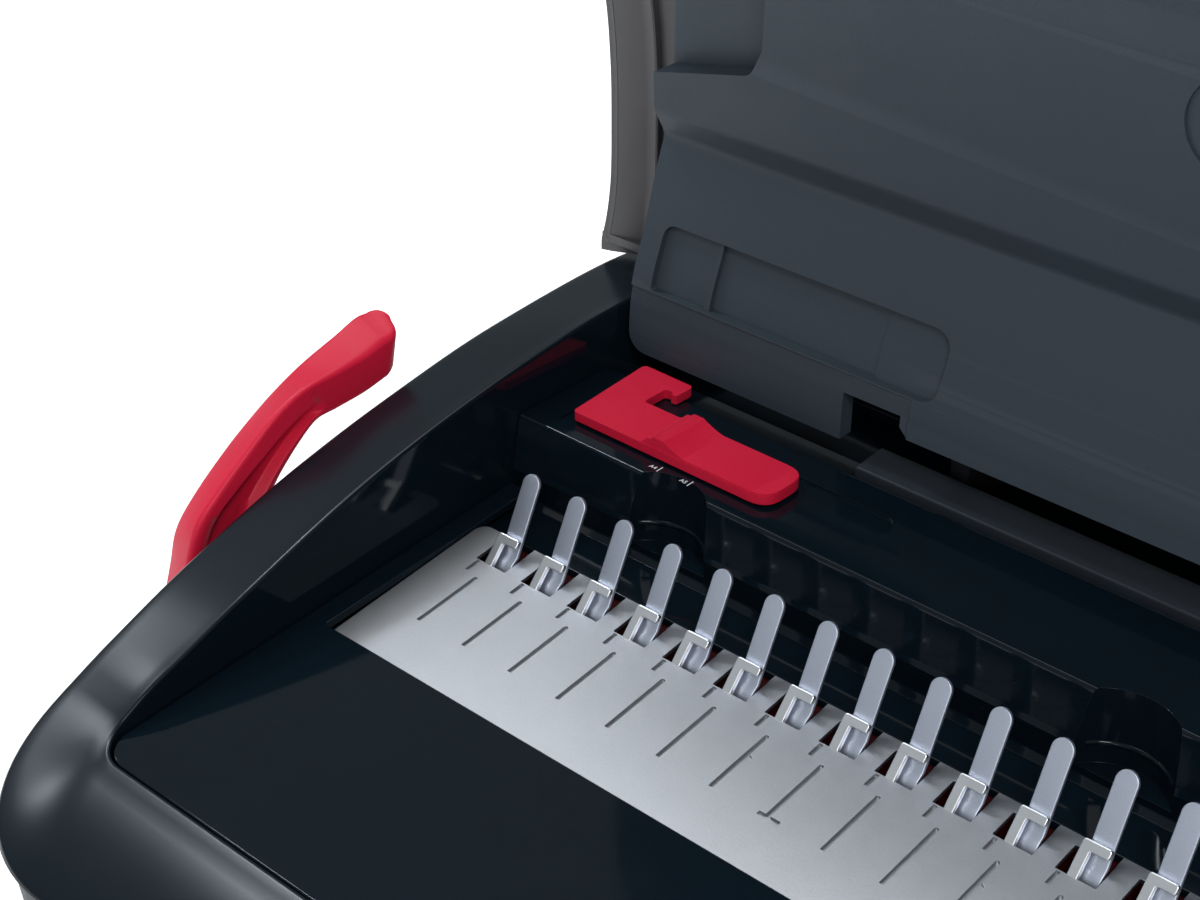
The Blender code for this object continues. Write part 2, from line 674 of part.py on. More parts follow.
def punch():
    """Punch bar with its row of pins, the guide bar in front of the slot and the die behind it."""
    bar = box("punch_bar", (-147, 32, 43), (147, 42, 57), FRAME_STEEL)
    pins = [box("pin", (x - 4, 41, PIN_Z - 1.5), (x + 4, 60.3, PIN_Z + 1.5), FRAME_STEEL) for x in tine_x]
    join(bar, gather(pins))
    guide = box("pin_guide", (-148.8, 55, 40), (148.8, SLOT_FRONT_Y - 0.2, 64), FRAME_STEEL)
    die = box("punch_die", (-148.8, SLOT_REAR_Y + 0.1, 40), (148.8, 70.0, 64), FRAME_STEEL)
    for plate in (guide, die):
        holes = [box("pin_hole", (x - 4.2, 50, PIN_Z - 1.7), (x + 4.2, 75, PIN_Z + 1.7), FRAME_STEEL,
                     collection=cutters) for x in tine_x]
        cut(plate, gather(holes))
    box("paper_depth_stop", (-148.8, SLOT_FRONT_Y + 0.2, 40), (148.8, SLOT_REAR_Y - 0.2, 45), FRAME_STEEL)


# ---- frames, bearings and small parts -------------------------------------------------------------------
def frames():
    shaft_y, shaft_z = LEVER_AXIS
    outline = [(-74, 7.5), (-74, 56), (-66, 60), (-20, 60), (22, 64), (33.6, 66), (33.6, 86), (58.6, 86),
               (58.6, 70), (76, 70), (76, 38.5), (54, 38.5), (54, 7.5)]
    bore = arc((shaft_y, shaft_z), 7.1, 0, 360, 28)[:-1]
    for side, name in ((-1, "left"), (1, "right")):
        low, high = sorted((side * 149.3, side * 151.3))
        prism("side_frame_" + name, outline, low, high, FRAME_STEEL, holes=[bore])
        bush = [*arc((shaft_y, shaft_z), 6.9, 0, 360, 28)[:-1]]
        inner = arc((shaft_y, shaft_z), SHAFT_RADIUS + 0.06, 0, 360, 24)[:-1]
        low, high = sorted((side * 148.0, side * 152.6))
        prism("shaft_bush_" + name, bush, low, high, NYLON, holes=[inner])
        low, high = sorted((side * 151.9, side * 154.9))
        rail = box("opener_rail_" + name, (low, -62, -4.0), (high, 8, -PLATE_THICKNESS - GAP), NYLON)
        rail.data.transform(PLATE)


def return_spring():
    """Torsion spring round the shaft, drawn as a poly helix with two straight legs."""
    shaft_y, shaft_z = LEVER_AXIS
    curve = bpy.data.curves.new("return_spring", "CURVE")
    curve.dimensions = "3D"
    curve.bevel_depth = 0.7 * MM
    curve.bevel_resolution = 0
    curve.use_fill_caps = True
    turns = 4
    steps = turns * 10
    coil_radius = 6.4
    points = [(-136.0, shaft_y - 22.0, shaft_z + coil_radius)]
    for i in range(steps + 1):
        angle = math.pi / 2 + 2 * math.pi * i / 10
        x = -136.0 - 1.9 * i / 10
        points.append((x, shaft_y + coil_radius * math.cos(angle), shaft_z + coil_radius * math.sin(angle)))
    points.append((-143.6, shaft_y - 22.0, shaft_z + coil_radius))
    spline = curve.splines.new("POLY")
    spline.points.add(len(points) - 1)
    for point, place_mm in zip(spline.points, points):
        point.co = (*(Vector(place_mm) * MM), 1.0)
    place("return_spring", curve_to_mesh("return_spring", curve), SHAFT_STEEL)


def turned(name, profile, spot, look, sides=16):
    """Piece turned about a vertical axis: a profile of (radius, z) points, from the top down, on a Screw."""
    bm = bmesh.new()
    points = [bm.verts.new((r * MM, 0.0, z * MM)) for r, z in profile]
    for a, b in zip(points, points[1:]):
        bm.edges.new((a, b))
    mesh = bpy.data.meshes.new(name)
    bm.to_mesh(mesh)
    bm.free()
    piece = place(name, mesh, look)
    piece.location = Vector(spot) * MM
    screw = piece.modifiers.new("turn", "SCREW")
    screw.axis = "Z"
    screw.steps = sides
    screw.render_steps = sides
    screw.use_merge_vertices = True
    screw.merge_threshold = 0.00001
    return piece


def feet_and_screws():
    corners = [(-150, -95), (150, -95), (-150, 95), (150, 95)]
    top = FOOT_HEIGHT - GAP
    for i, (x, y) in enumerate(corners, start=1):
        turned(f"rubber_foot_{i}", [(0, top), (9.5, top), (9.5, 0.8), (8.7, 0), (0, 0)], (x, y, 0), RUBBER)
    posts = [(-120, -100), (120, -100), (-120, -40), (120, -40)]
    for i, (x, y) in enumerate(posts, start=1):
        head = [(0, 2.7), (2.8, 2.7), (3.3, 2.2), (3.3, 1.2), (0, 1.2)]
        turned(f"base_screw_{i}", head, (x, y, 0), SHAFT_STEEL, sides=12)


def hinges():
    """Hinge brackets on the well floor, pins, and the lid's arms beside the brackets."""
    y, z = LID_AXIS
    hole = arc((y, z), 2.05, 0, 360, 16)[:-1]
    boss = 4.2
    bracket = [(80, 82.3), (96, 82.3), (96, 86), (y + 6.0, z - 2.0), *arc((y, z), boss, -25, 283, 18),
               (y + 3.4, z - 7.0), (80, 92)]
    arm = [*arc((y, z), boss, 170, 340, 10), (y + 11.2, z + 12), (y + 11.2, z + 36), (y + 4.6, z + 36),
           (y + 4.6, z + 14)]
    for side, name in ((-1, "left"), (1, "right")):
        low, high = sorted((side * 72.0, side * 67.0))
        prism("hinge_bracket_" + name, bracket, low, high, BLACK_MATTE, holes=[hole])
        low, high = sorted((side * 66.6, side * 61.0))
        prism("lid_hinge_arm_" + name, arm, low, high, SLATE, holes=[hole], pivot=(side * 64, y, z))
        low, high = sorted((side * 73.5, side * 60.0))
        cylinder("hinge_pin_" + name, LID_AXIS, 2.0, low, high, SHAFT_STEEL, sides=16)


# ---- lever --------------------------------------------------------------------------------------------
def lever():
    """Red hand lever: a boss on the shaft, an arm that bends back, and a flared grip."""
    y0, z0 = LEVER_AXIS
    inner_x = -189.8
    outer_x = -200.2
    # each section: outer top, inner top and bottom corner, as (y, z)
    sections = [
        ((-57.5, 52.0), (-57.5, 54.0), (-34.0, 50.0)),
        ((-52.0, 62.0), (-53.5, 64.0), (-32.0, 61.0)),
        ((-48.8, 70.5), (-50.5, 75.0), (-29.5, 71.5)),
        ((-46.0, 79.0), (-46.5, 84.5), (-26.5, 78.8)),
        ((-39.4, 85.9), (-40.0, 90.4), (-23.5, 83.3)),
        ((-29.4, 93.4), (-30.5, 97.2), (-20.0, 87.4)),
        ((-19.8, 99.2), (-21.7, 103.0), (-14.6, 92.2)),
        ((-12.0, 103.2), (-12.8, 106.2), (-9.2, 95.8)),
        ((-4.0, 106.6), (-3.0, 106.6), (-3.0, 96.2)),
        ((6.1, 109.7), (6.0, 107.0), (5.0, 96.7)),
        ((12.0, 111.7), (11.5, 108.2), (10.6, 97.6)),
        ((17.6, 112.4), (16.6, 109.0), (14.6, 98.6)),
    ]
    rings = []
    for outer_top, inner_top, bottom in sections:
        ring = []
        for k in range(16):
            angle = 2 * math.pi * (k + 0.5) / 16
            across = 1.03 * math.copysign(abs(math.cos(angle)) ** 0.5, math.cos(angle))
            rise = 1.03 * math.copysign(abs(math.sin(angle)) ** 0.5, math.sin(angle))
            right = (1 + across) / 2
            up = (1 + rise) / 2
            top_y = outer_top[0] + (inner_top[0] - outer_top[0]) * right
            top_z = outer_top[1] + (inner_top[1] - outer_top[1]) * right
            ring.append((outer_x + (inner_x - outer_x) * right, bottom[0] + (top_y - bottom[0]) * up,
                         bottom[1] + (top_z - bottom[1]) * up))
        rings.append(ring)
    # the blunt tip: the last section again, smaller and further along the arm
    last = [Vector(point) for point in rings[-1]]
    middle = sum(last, Vector()) / len(last)
    for scale, ahead in ((0.97, 0.9), (0.87, 1.9), (0.6, 2.6)):
        move = Vector((0.0, 0.94, 0.34)) * ahead
        rings.append([middle + (point - middle) * scale + move for point in last])
    arm = loft("lever", rings, RED)
    boss = cylinder("boss", (y0, z0), 15.0, outer_x, inner_x, RED, sides=40)
    join(arm, boss)
    join(arm, cylinder("hub", (y0, z0), 10.0, outer_x - 1.0, outer_x + 3.0, RED, sides=36))
    bore = cylinder("lever_bore", (y0, z0), SHAFT_RADIUS + 0.1, -210, -170, RED, collection=cutters)
    cut(arm, bore)
    offset = Vector((-195.0, y0, z0)) * MM
    arm.data.transform(Matrix.Translation(-offset))
    arm.location = offset
    ring_hole = arc((y0, z0), 1.9, 0, 360, 20)[:-1]
    ring_edge = arc((y0, z0), 7.5, 0, 360, 28)[:-1]
    prism("lever_washer", ring_edge, -202.8, -201.7, SHAFT_STEEL, holes=[ring_hole], pivot=(-202, y0, z0))
    cylinder("lever_screw", (y0, z0), 4.2, -205.4, -203.1, SHAFT_STEEL, sides=20, pivot=(-204, y0, z0))


# ---- lid ----------------------------------------------------------------------------------------------
CLOSED_TURN = math.radians(96.0)


# The lid's rounded front corners lie inside the casing's crest, where the rim's surface stands higher.
corner_rise = smooth_curve((-124, -112, -100, -90, -80, -72, -60), (4.0, 5.0, 6.2, 6.6, 4.6, 2.2, 0.0))


def rim_gap(y):
    """Height of the closed lid's edge over the casing's crest: 10.6 near the hinge, 2.4 towards the nose."""
    share = min(max((y + 60.0) / 75.0, 0.0), 1.0)
    return 2.4 + 8.2 * share * share * (3.0 - 2.0 * share) + corner_rise(y)


def closed_to_open(y, z):
    """Lid coordinates (d, v), as it stands open, of a world point on the closed lid."""
    dy = y - LID_AXIS[0]
    dz = z - LID_AXIS[1]
    cos = math.cos(CLOSED_TURN)
    sin = math.sin(CLOSED_TURN)
    open_y = LID_AXIS[0] + dy * cos + dz * sin
    open_z = LID_AXIS[1] - dy * sin + dz * cos
    return (open_y - LID_DATUM[0], open_z - LID_DATUM[1])


def lip_curve():
    """Depth of the shell's edge as a function of v, from the casing's crest turned with the lid."""
    vs = []
    ds = []
    for y in (58, 44, 30, 14, -8, -30, -52, -72, -90, -108, -124):
        d, v = closed_to_open(y, crest_z(y) + rim_gap(y))
        vs.append(v)
        ds.append(d)
    return smooth_curve(vs, ds)


lip_depth = lip_curve()
shell_depth = smooth_curve((0, 8, 60, 110, 150, 175, 192), (24, 24, 25, 24, 22, 18, 13))
panel_depth = smooth_curve((-10, 0.5, 10.8, 21.5, 32.7, 44.8), (-17.9, -17.5, -15.4, -11.5, -9.5, -6.4))
plateau_depth = smooth_curve((49, 60, 90, 110, 140, 165, 176),
                             (-8.4, -10.0, -9.5, -11.5, -16.0, -21.5, -23.5))


def lid_point(x, d, v):
    return (x, LID_DATUM[0] + d, LID_DATUM[1] + v)


def lid_outer_shell():
    """Domed shell: a grid over the lid's outline, deep in the middle and rolled over at its edges."""
    rows = 14
    columns = 20
    roll = 15.0
    top = SHELL_TOP_V
    bm = bmesh.new()
    grid = []
    for i in range(rows + 1):
        share = i / rows
        v = SHELL_BOTTOM_V + (top - SHELL_BOTTOM_V) * (0.5 - 0.5 * math.cos(math.pi * share))
        beyond = max(0.0, v - (top - SHELL_CORNER))
        half = SHELL_HALF_WIDTH - (SHELL_CORNER - math.sqrt(max(SHELL_CORNER ** 2 - beyond ** 2, 0.0)))
        half += SHELL_FLARE * max(0.0, 1.0 - (v - SHELL_BOTTOM_V) / 20.0) ** 2
        row = []
        for j in range(columns + 1):
            across = -math.cos(math.pi * j / columns)
            x = half * (0.35 * across + 0.65 * math.copysign(abs(across) ** 0.72, across))
            edge = min(half - abs(x), v - SHELL_BOTTOM_V, top - v)
            edge = min(max(edge, 0.0), roll)
            bulge = math.sqrt(max(roll ** 2 - (roll - edge) ** 2, 0.0)) / roll
            depth = lip_depth(v) + shell_depth(v) * (0.04 + 0.96 * bulge)
            if edge <= 0.0:
                depth = lip_depth(v)
            row.append(bm.verts.new(Vector(lid_point(x, depth, v)) * MM))
        grid.append(row)
    for i in range(rows):
        for j in range(columns):
            bm.faces.new((grid[i][j], grid[i][j + 1], grid[i + 1][j + 1], grid[i + 1][j]))
    bmesh.ops.recalc_face_normals(bm, faces=bm.faces[:])
    mesh = bpy.data.meshes.new("lid_outer_shell")
    bm.to_mesh(mesh)
    bm.free()
    shell = place("lid_outer_shell", mesh, SHELL_GREY, pivot=(0, *LID_AXIS))
    middle = mesh.polygons[len(mesh.polygons) // 2]
    if middle.normal.y < 0:
        mesh.flip_normals()
    thicken = shell.modifiers.new("thickness", "SOLIDIFY")
    thicken.thickness = SHELL_THICKNESS * MM
    thicken.offset = -1.0
    thicken.use_even_offset = True
    return shell


def face_prism(name, outline, front_d, back_d, collection=machine):
    """Outline in the lid's face, as (x, v) points, extruded between two depths d."""
    y, z = LID_DATUM
    return prism(name, [(z + v, x) for x, v in outline], y + front_d, y + back_d, SLATE, axis="Y",
                 collection=collection)


RECESS_V = (7.5, 10.8, 16, 21.5, 23.8)
STEP_V = (-12.0, -6.0, 0.5, 7.2)
RECESS_FLOORS = (
    (-170.0, -76.0, 0.7, STEP_V),
    (-154.0, -137.0, 2.2, RECESS_V),
    (-137.02, -88.0, 3.2, RECESS_V),
    (-88.02, -75.98, 2.4, RECESS_V),
)
RECESS_END_D = -10.4


def lid_inner_panel():
    """Slate liner: a lower part, a crease, and a raised upper part, with a pocket and a shallow recess."""
    front = [(-17.9, -10.0)]
    for v in (-6, 0.5, 6, 10.8, 16, 21.5, 27, 32.7, 39, 44.8):
        front.append((panel_depth(v), v))
    front.append((-6.7, 47.8))
    for v in (49.4, 54, 60, 75, 90, 100, 110, 120, 130, 140, 150, 160, 168, 176):
        front.append((plateau_depth(v), v))
    back = [(d + PANEL_THICKNESS, v) for d, v in reversed(front)]
    y, z = LID_DATUM
    outline = [(y + d, z + v) for d, v in front + back]
    panel = prism("lid_inner_panel", outline, -PANEL_HALF_WIDTH, PANEL_HALF_WIDTH, SLATE)
    backing = [(-PANEL_HALF_WIDTH + 0.02, 54), (-118, 54), (-118, 122), (-PANEL_HALF_WIDTH + 0.02, 122)]
    join(panel, face_prism("pocket_backing", backing, -7.0, 1.6))
    edge = -PANEL_HALF_WIDTH - 6
    lower_edge = [(-94.5, -20), (170, -20), (170, -2.5), (-78.5, -2.5), (-78.5, 2.2), (-94.5, 2.2)]
    cut(panel, face_prism("tongue_cut", lower_edge, -30, 5, cutters))
    for low_x, high_x, deep, levels in RECESS_FLOORS:
        floor = [(y + panel_depth(v), z + v) for v in levels]
        recess = [(a - 9, b) for a, b in floor] + [(a + deep, b) for a, b in reversed(floor)]
        tool = prism("recess", recess, low_x, high_x, SLATE, collection=cutters)
        cut(panel, tool)
    ends = [(-76.0, RECESS_V[0]), *arc((-76.0, 12.0), 4.5, -90, 0, 5), *arc((-76.0, 19.3), 4.5, 0, 90, 5),
            (-76.0, RECESS_V[-1])]
    cut(panel, face_prism("recess_end", ends, -30, RECESS_END_D, cutters))
    pocket = [(edge, 59.2), (-159, 60.6), (-136, 66.2), (-131.5, 68.2), (-128.8, 71.5), (-127.9, 75.0),
              (-125.6, 112), (edge, 112)]
    cut(panel, face_prism("pocket", pocket, -30, -1.8, cutters))
    corners = []
    for side in (-1, 1):
        for v, spin, radius in ((176, 1, 26.0), (-10, -1, 5.0)):
            if v < 0 and side > 0:
                continue
            x0 = side * (PANEL_HALF_WIDTH + 1)
            v0 = v + spin
            centre = (x0 - side * (radius + 1), v0 - spin * (radius + 1))
            quarter = [(centre[0] + side * radius * math.sin(t), centre[1] + spin * radius * math.cos(t))
                       for t in np.linspace(0, math.pi / 2, 7)]
            far_x = x0 + side * 4
            far_v = v0 + spin * 4
            tip = [(far_x, quarter[-1][1]), (far_x, far_v), (quarter[0][0], far_v)]
            corners.append(face_prism("corner_cut", quarter + tip, -60, 20, cutters))
    for tool in corners:
        cut(panel, tool)
    offset = Vector((0, *LID_AXIS)) * MM
    panel.data.transform(Matrix.Translation(-offset))
    panel.location = offset
    return panel


# ---- guide and drawer ---------------------------------------------------------------------------------
def edge_guide():
    """Red paper edge guide: a flat body with a thumb ridge, a hook round the rail and a stop in the slot."""
    low = SHELF_Z + 0.35
    high = SHELF_Z + 2.7
    outline = [(-149.9, 36.4), (-149.4, 36.0), (-93.4, 36.0), (-92.0, 36.6), (-91.1, 38.6), (-91.1, 48.4)]
    outline += [(-91.8, 50.0), (-93.6, 50.7), (-140.6, 50.7), (-140.6, 58.6), (-138.4, 58.6), (-138.0, 57.6)]
    outline += [(-136.6, 57.6), (-136.4, 62.6), (-138.0, 64.0), (-151.0, 64.2), (-152.2, 63.2)]
    guide = prism("edge_guide", outline, low, high, RED, axis="Z")
    ridge = [(-128.5, high - 0.6), (-126.8, high + 1.6), (-125.6, high + 2.0), (-121.2, high + 2.0),
             (-119.6, high + 1.6), (-115.6, high - 0.6)]
    thumb = prism("thumb_ridge", [(z, x) for x, z in ridge], 36.1, 52.6, RED, axis="Y")
    join(guide, thumb)
    stop = box("guide_stop", (-150.5, 62.0, SHELF_Z - 7.0), (-141.5, 64.1, low + 0.5), RED)
    join(guide, stop)
    return guide


def guide_rail():
    box("guide_rail", (-148.6, 46.0, 83.4), (-96, 54.0, 87.4), FRAME_STEEL)


def chip_drawer():
    """Open tray for the punched chips, with a front panel that fills the opening in the casing."""
    low = 8.4
    tray = box("chip_drawer", (-146, 66, low), (146, 120.5, 35), BLACK_MATTE)
    near_corner = (-144.2, 67.8, low + 1.8)
    far_corner = (144.2, 118.4, 60)
    hollow = box("drawer_hollow", near_corner, far_corner, BLACK_MATTE, collection=cutters)
    cut(tray, hollow)
    face = [(119.0, low), (124.6, low), (126.0, 37.0), (119.0, 37.0)]
    join(tray, prism("drawer_face", face, -147.0, 147.0, BLACK_MATTE))
    grip = [(121.6, 24.0), (130.0, 22.0), (130.0, 33.0), (121.6, 31.0)]
    cut(tray, prism("finger_grip", grip, -30, 30, BLACK_MATTE, collection=cutters))
    return tray


def shade_round_pieces():
    for thing in machine.objects:
        if thing.type == "MESH":
            thing.data.shade_smooth()
            thing.data.set_sharp_from_angle(angle=math.radians(32))


def move_to_frame():
    """Hang every piece and cutter on one empty that carries the shift to the middle of the footprint."""
    root = bpy.data.objects.new("comb_binding_machine_root", None)
    machine.objects.link(root)
    root.location = (ROW_SHIFT_X * MM, 0.0, 0.0)
    for thing in [*machine.objects, *cutters.objects]:
        if thing is not root:
            thing.parent = root


upper_casing()
lower_casing()
front_deck()
punch_cover()
rear_covers()
opener_plate()
blade_comb()
blade_holder()
opener_carriage()
drive_train()
punch()
frames()
return_spring()
feet_and_screws()
hinges()
lever()
lid_outer_shell()
lid_inner_panel()
edge_guide()
guide_rail()
chip_drawer()
shade_round_pieces()
move_to_frame()
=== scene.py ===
import json
import math

import bmesh
import bpy
import numpy as np
from mathutils import Matrix, Vector

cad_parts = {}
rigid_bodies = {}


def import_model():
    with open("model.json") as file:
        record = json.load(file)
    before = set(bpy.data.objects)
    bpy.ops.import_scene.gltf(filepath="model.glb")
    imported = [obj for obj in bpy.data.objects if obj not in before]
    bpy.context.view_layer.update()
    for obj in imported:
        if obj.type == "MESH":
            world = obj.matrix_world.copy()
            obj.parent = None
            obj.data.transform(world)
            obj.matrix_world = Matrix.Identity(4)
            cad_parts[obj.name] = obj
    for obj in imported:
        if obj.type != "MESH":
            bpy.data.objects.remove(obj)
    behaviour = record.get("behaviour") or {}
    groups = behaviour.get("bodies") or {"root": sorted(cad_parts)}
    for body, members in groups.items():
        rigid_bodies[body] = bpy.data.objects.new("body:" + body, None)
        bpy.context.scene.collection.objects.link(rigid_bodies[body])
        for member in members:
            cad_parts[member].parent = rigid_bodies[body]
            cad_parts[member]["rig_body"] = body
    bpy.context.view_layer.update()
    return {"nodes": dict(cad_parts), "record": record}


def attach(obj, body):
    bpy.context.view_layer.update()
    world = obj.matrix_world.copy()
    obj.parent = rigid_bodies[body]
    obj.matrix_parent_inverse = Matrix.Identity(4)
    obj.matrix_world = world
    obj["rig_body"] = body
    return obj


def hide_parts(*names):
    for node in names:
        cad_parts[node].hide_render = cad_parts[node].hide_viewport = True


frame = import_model()
nodes = frame["nodes"]

# Shapes are drawn in millimetres about the middle of the blade row, then moved to the frame.
MM = 0.001
ROW_SHIFT_X = 8.2
TO_FRAME = Matrix.Scale(MM, 4) @ Matrix.Translation((ROW_SHIFT_X, 0.0, 0.0))
PLATE_ANGLE = math.radians(6.6)
PLATE_HEIGHT = 72.0
PLATE = Matrix.Translation((0.0, 0.0, PLATE_HEIGHT)) @ Matrix.Rotation(PLATE_ANGLE, 4, "X")
TINES = 21
PITCH = 14.2875
tine_x = [(i - (TINES - 1) / 2) * PITCH for i in range(TINES)]
BODY_HALF_WIDTH = 185.0
BODY_FRONT_Y = -128.0
BODY_REAR_Y = 128.0
FRONT_CORNER = 40.0
REAR_CORNER = 30.0
SEAM_Z = 54.0
WALL_X = 162.0
COVER_HALF_WIDTH = 161.6
DECK_FRONT_Y = -98.5
DECK_ANGLE = math.radians(4.2)
WELL_REAR_Y = 104.0
BLADE_HALF_ROW = 148.8
SHELF_Z = 92.2
# Points in the side view are (y, z).
LID_AXIS = (76.0, 104.0)
LID_DATUM = (84.0, 106.0)
LID_TRAVEL = math.radians(96.0)
SHAFT = (-46.0, 42.0)


# ---- materials ----------------------------------------------------------------------------------------
def surface(name, colour, rough, metallic=0.0, specular=0.5, tint=0.06, patch=35.0, grain=900.0,
            grain_depth=0.05, rough_span=0.05, wear=0.0, stretch=(1.0, 1.0, 1.0), top_rough=0.0):
    """Plastic or metal with uneven colour and gloss, and where asked a fine grain, paler worn edges, and a
    roughness of its own on the faces that look up.
    """
    look = bpy.data.materials.new(name)
    look.use_nodes = True
    tree = look.node_tree
    shader = tree.nodes["Principled BSDF"]
    shader.inputs["Metallic"].default_value = metallic
    shader.inputs["Specular IOR Level"].default_value = specular
    where = tree.nodes.new("ShaderNodeTexCoord")
    scaled = tree.nodes.new("ShaderNodeMapping")
    scaled.inputs["Scale"].default_value = stretch
    tree.links.new(where.outputs["Object"], scaled.inputs["Vector"])

    def noise(scale, detail, roughness=0.5):
        made = tree.nodes.new("ShaderNodeTexNoise")
        made.inputs["Scale"].default_value = scale
        made.inputs["Detail"].default_value = detail
        made.inputs["Roughness"].default_value = roughness
        tree.links.new(scaled.outputs["Vector"], made.inputs["Vector"])
        return made.outputs["Fac"]

    def spread(source, low, high, start=0.3, end=0.7):
        made = tree.nodes.new("ShaderNodeMapRange")
        made.inputs["From Min"].default_value = start
        made.inputs["From Max"].default_value = end
        made.inputs["To Min"].default_value = low
        made.inputs["To Max"].default_value = high
        tree.links.new(source, made.inputs["Value"])
        return made.outputs["Result"]

    def blend_colour(share, first, second):
        made = tree.nodes.new("ShaderNodeMix")
        made.data_type = "RGBA"
        for socket, value in ((made.inputs[6], first), (made.inputs[7], second)):
            if isinstance(value, tuple):
                socket.default_value = (*value, 1.0)
            else:
                tree.links.new(value, socket)
        tree.links.new(share, made.inputs[0])
        return made.outputs[2]

    darker = tuple(c * (1.0 - tint) for c in colour)
    paler = tuple(min(1.0, c * (1.0 + tint)) for c in colour)
    patches = noise(patch, 5.0, 0.6)
    fine = noise(grain, 2.0, 0.6)
    mixed = blend_colour(spread(patches, 0.0, 1.0), darker, paler)
    if grain_depth > 0.0:
        mixed = blend_colour(spread(fine, 0.0, 0.35), mixed, tuple(min(1.0, c * 1.25) for c in colour))
    if wear > 0.0:
        shape = tree.nodes.new("ShaderNodeNewGeometry")
        edge = spread(shape.outputs["Pointiness"], 0.0, wear, 0.53, 0.62)
        mixed = blend_colour(edge, mixed, tuple(min(1.0, c * 2.2 + 0.03) for c in colour))
    tree.links.new(mixed, shader.inputs["Base Color"])
    gloss = noise(patch * 4.0, 6.0, 0.65)
    uneven = spread(gloss, max(0.02, rough - rough_span), rough + rough_span)
    if top_rough > 0.0:
        shape = tree.nodes.new("ShaderNodeNewGeometry")
        parts = tree.nodes.new("ShaderNodeSeparateXYZ")
        tree.links.new(shape.outputs["Normal"], parts.inputs["Vector"])
        mixer = tree.nodes.new("ShaderNodeMix")
        tree.links.new(spread(parts.outputs["Z"], 0.0, 1.0, 0.45, 0.7), mixer.inputs[0])
        tree.links.new(uneven, mixer.inputs[2])
        tree.links.new(spread(gloss, top_rough - 0.004, top_rough + 0.004), mixer.inputs[3])
        uneven = mixer.outputs[0]
    tree.links.new(uneven, shader.inputs["Roughness"])
    if grain_depth > 0.0:
        bump = tree.nodes.new("ShaderNodeBump")
        bump.inputs["Strength"].default_value = 1.0
        bump.inputs["Distance"].default_value = grain_depth * MM
        tree.links.new(fine, bump.inputs["Height"])
        tree.links.new(bump.outputs["Normal"], shader.inputs["Normal"])
    return look


GLOSS_BLACK = surface("gloss_black", (0.0030, 0.0072, 0.0115), 0.085, specular=0.24, tint=0.1, patch=18.0,
                      grain=260.0, grain_depth=0.003, rough_span=0.02)
RIM_BLACK = surface("rim_black", (0.0030, 0.0072, 0.0115), 0.085, specular=0.25, tint=0.1, patch=18.0,
                    grain=1500.0, grain_depth=0.001, rough_span=0.02, top_rough=0.22)
MATTE_BLACK = surface("matte_black", (0.014, 0.017, 0.021), 0.5, specular=0.4, tint=0.12, grain=1900.0,
                      grain_depth=0.05, rough_span=0.07, wear=0.25)
RED = surface("red_plastic", (0.60, 0.010, 0.040), 0.44, specular=0.25, tint=0.05, grain=1300.0,
              grain_depth=0.008, rough_span=0.05, wear=0.1)
# Painted shade: the red plastic darkened to stand in for the shade under the comb plate, used on the blade
# holder
PAINTED_SHADE_RED = surface("shaded_red_plastic", (0.030, 0.001, 0.002), 0.5, specular=0.1, tint=0.08,
                   grain=1300.0, grain_depth=0.01, rough_span=0.05)
SLATE = surface("slate_plastic", (0.030, 0.0415, 0.054), 0.56, specular=0.3, tint=0.05, patch=14.0,
                grain=2100.0, grain_depth=0.06, rough_span=0.05, wear=0.12)
WARM_GREY = surface("warm_grey_plastic", (0.054, 0.053, 0.057), 0.42, specular=0.4, tint=0.05, patch=12.0,
                    grain=1700.0, grain_depth=0.03, rough_span=0.06, wear=0.1)
SATIN_STEEL = surface("satin_steel", (0.42, 0.435, 0.46), 0.40, metallic=1.0, tint=0.02, patch=90.0,
                      grain=2600.0, grain_depth=0.02, rough_span=0.02)
BLADE_STEEL = surface("blade_steel", (0.60, 0.64, 0.74), 0.48, metallic=1.0, tint=0.015, patch=120.0,
                      grain=3200.0, grain_depth=0.002, rough_span=0.015)
HOOK_STEEL = surface("hook_steel", (0.93, 0.94, 0.96), 0.34, metallic=1.0, tint=0.03, patch=90.0,
                     grain=3000.0, grain_depth=0.003, rough_span=0.03, stretch=(0.35, 1.0, 1.0))
ZINC_STEEL = surface("zinc_steel", (0.42, 0.43, 0.44), 0.42, metallic=1.0, tint=0.14, patch=70.0,
                     grain=1500.0, grain_depth=0.01, rough_span=0.09, wear=0.3)
GROUND_STEEL = surface("ground_steel", (0.56, 0.56, 0.57), 0.26, metallic=1.0, tint=0.05, patch=60.0,
                       grain=1600.0, grain_depth=0.008, rough_span=0.08, wear=0.3,
                       stretch=(6.0, 1.0, 1.0))
NYLON = surface("nylon", (0.70, 0.68, 0.61), 0.5, tint=0.05, grain=1200.0, grain_depth=0.02, wear=0.1)
RUBBER = surface("rubber", (0.018, 0.018, 0.019), 0.82, specular=0.3, tint=0.15, grain=1500.0,
                 grain_depth=0.06, wear=0.2)
WHITE_INK = surface("white_ink", (0.75, 0.76, 0.77), 0.5, tint=0.05, grain=2500.0, grain_depth=0.004)
SHELF_MATTE = surface("black_block", (0.022, 0.027, 0.034), 0.45, specular=0.25, tint=0.1, grain=1900.0,
                      grain_depth=0.012, rough_span=0.05)

SLOT_LOOK = {
    "gloss_black": GLOSS_BLACK, "matte_black": MATTE_BLACK, "red": RED, "slate": SLATE,
    "warm_grey": WARM_GREY, "satin_steel": SATIN_STEEL, "zinc_steel": ZINC_STEEL,
    "ground_steel": GROUND_STEEL, "nylon": NYLON, "rubber": RUBBER,
}
for part in frame["record"]["subparts"]:
    node = nodes[part["node"]]
    node.data.materials.clear()
    node.data.materials.append(SLOT_LOOK[part["material_slot"]])


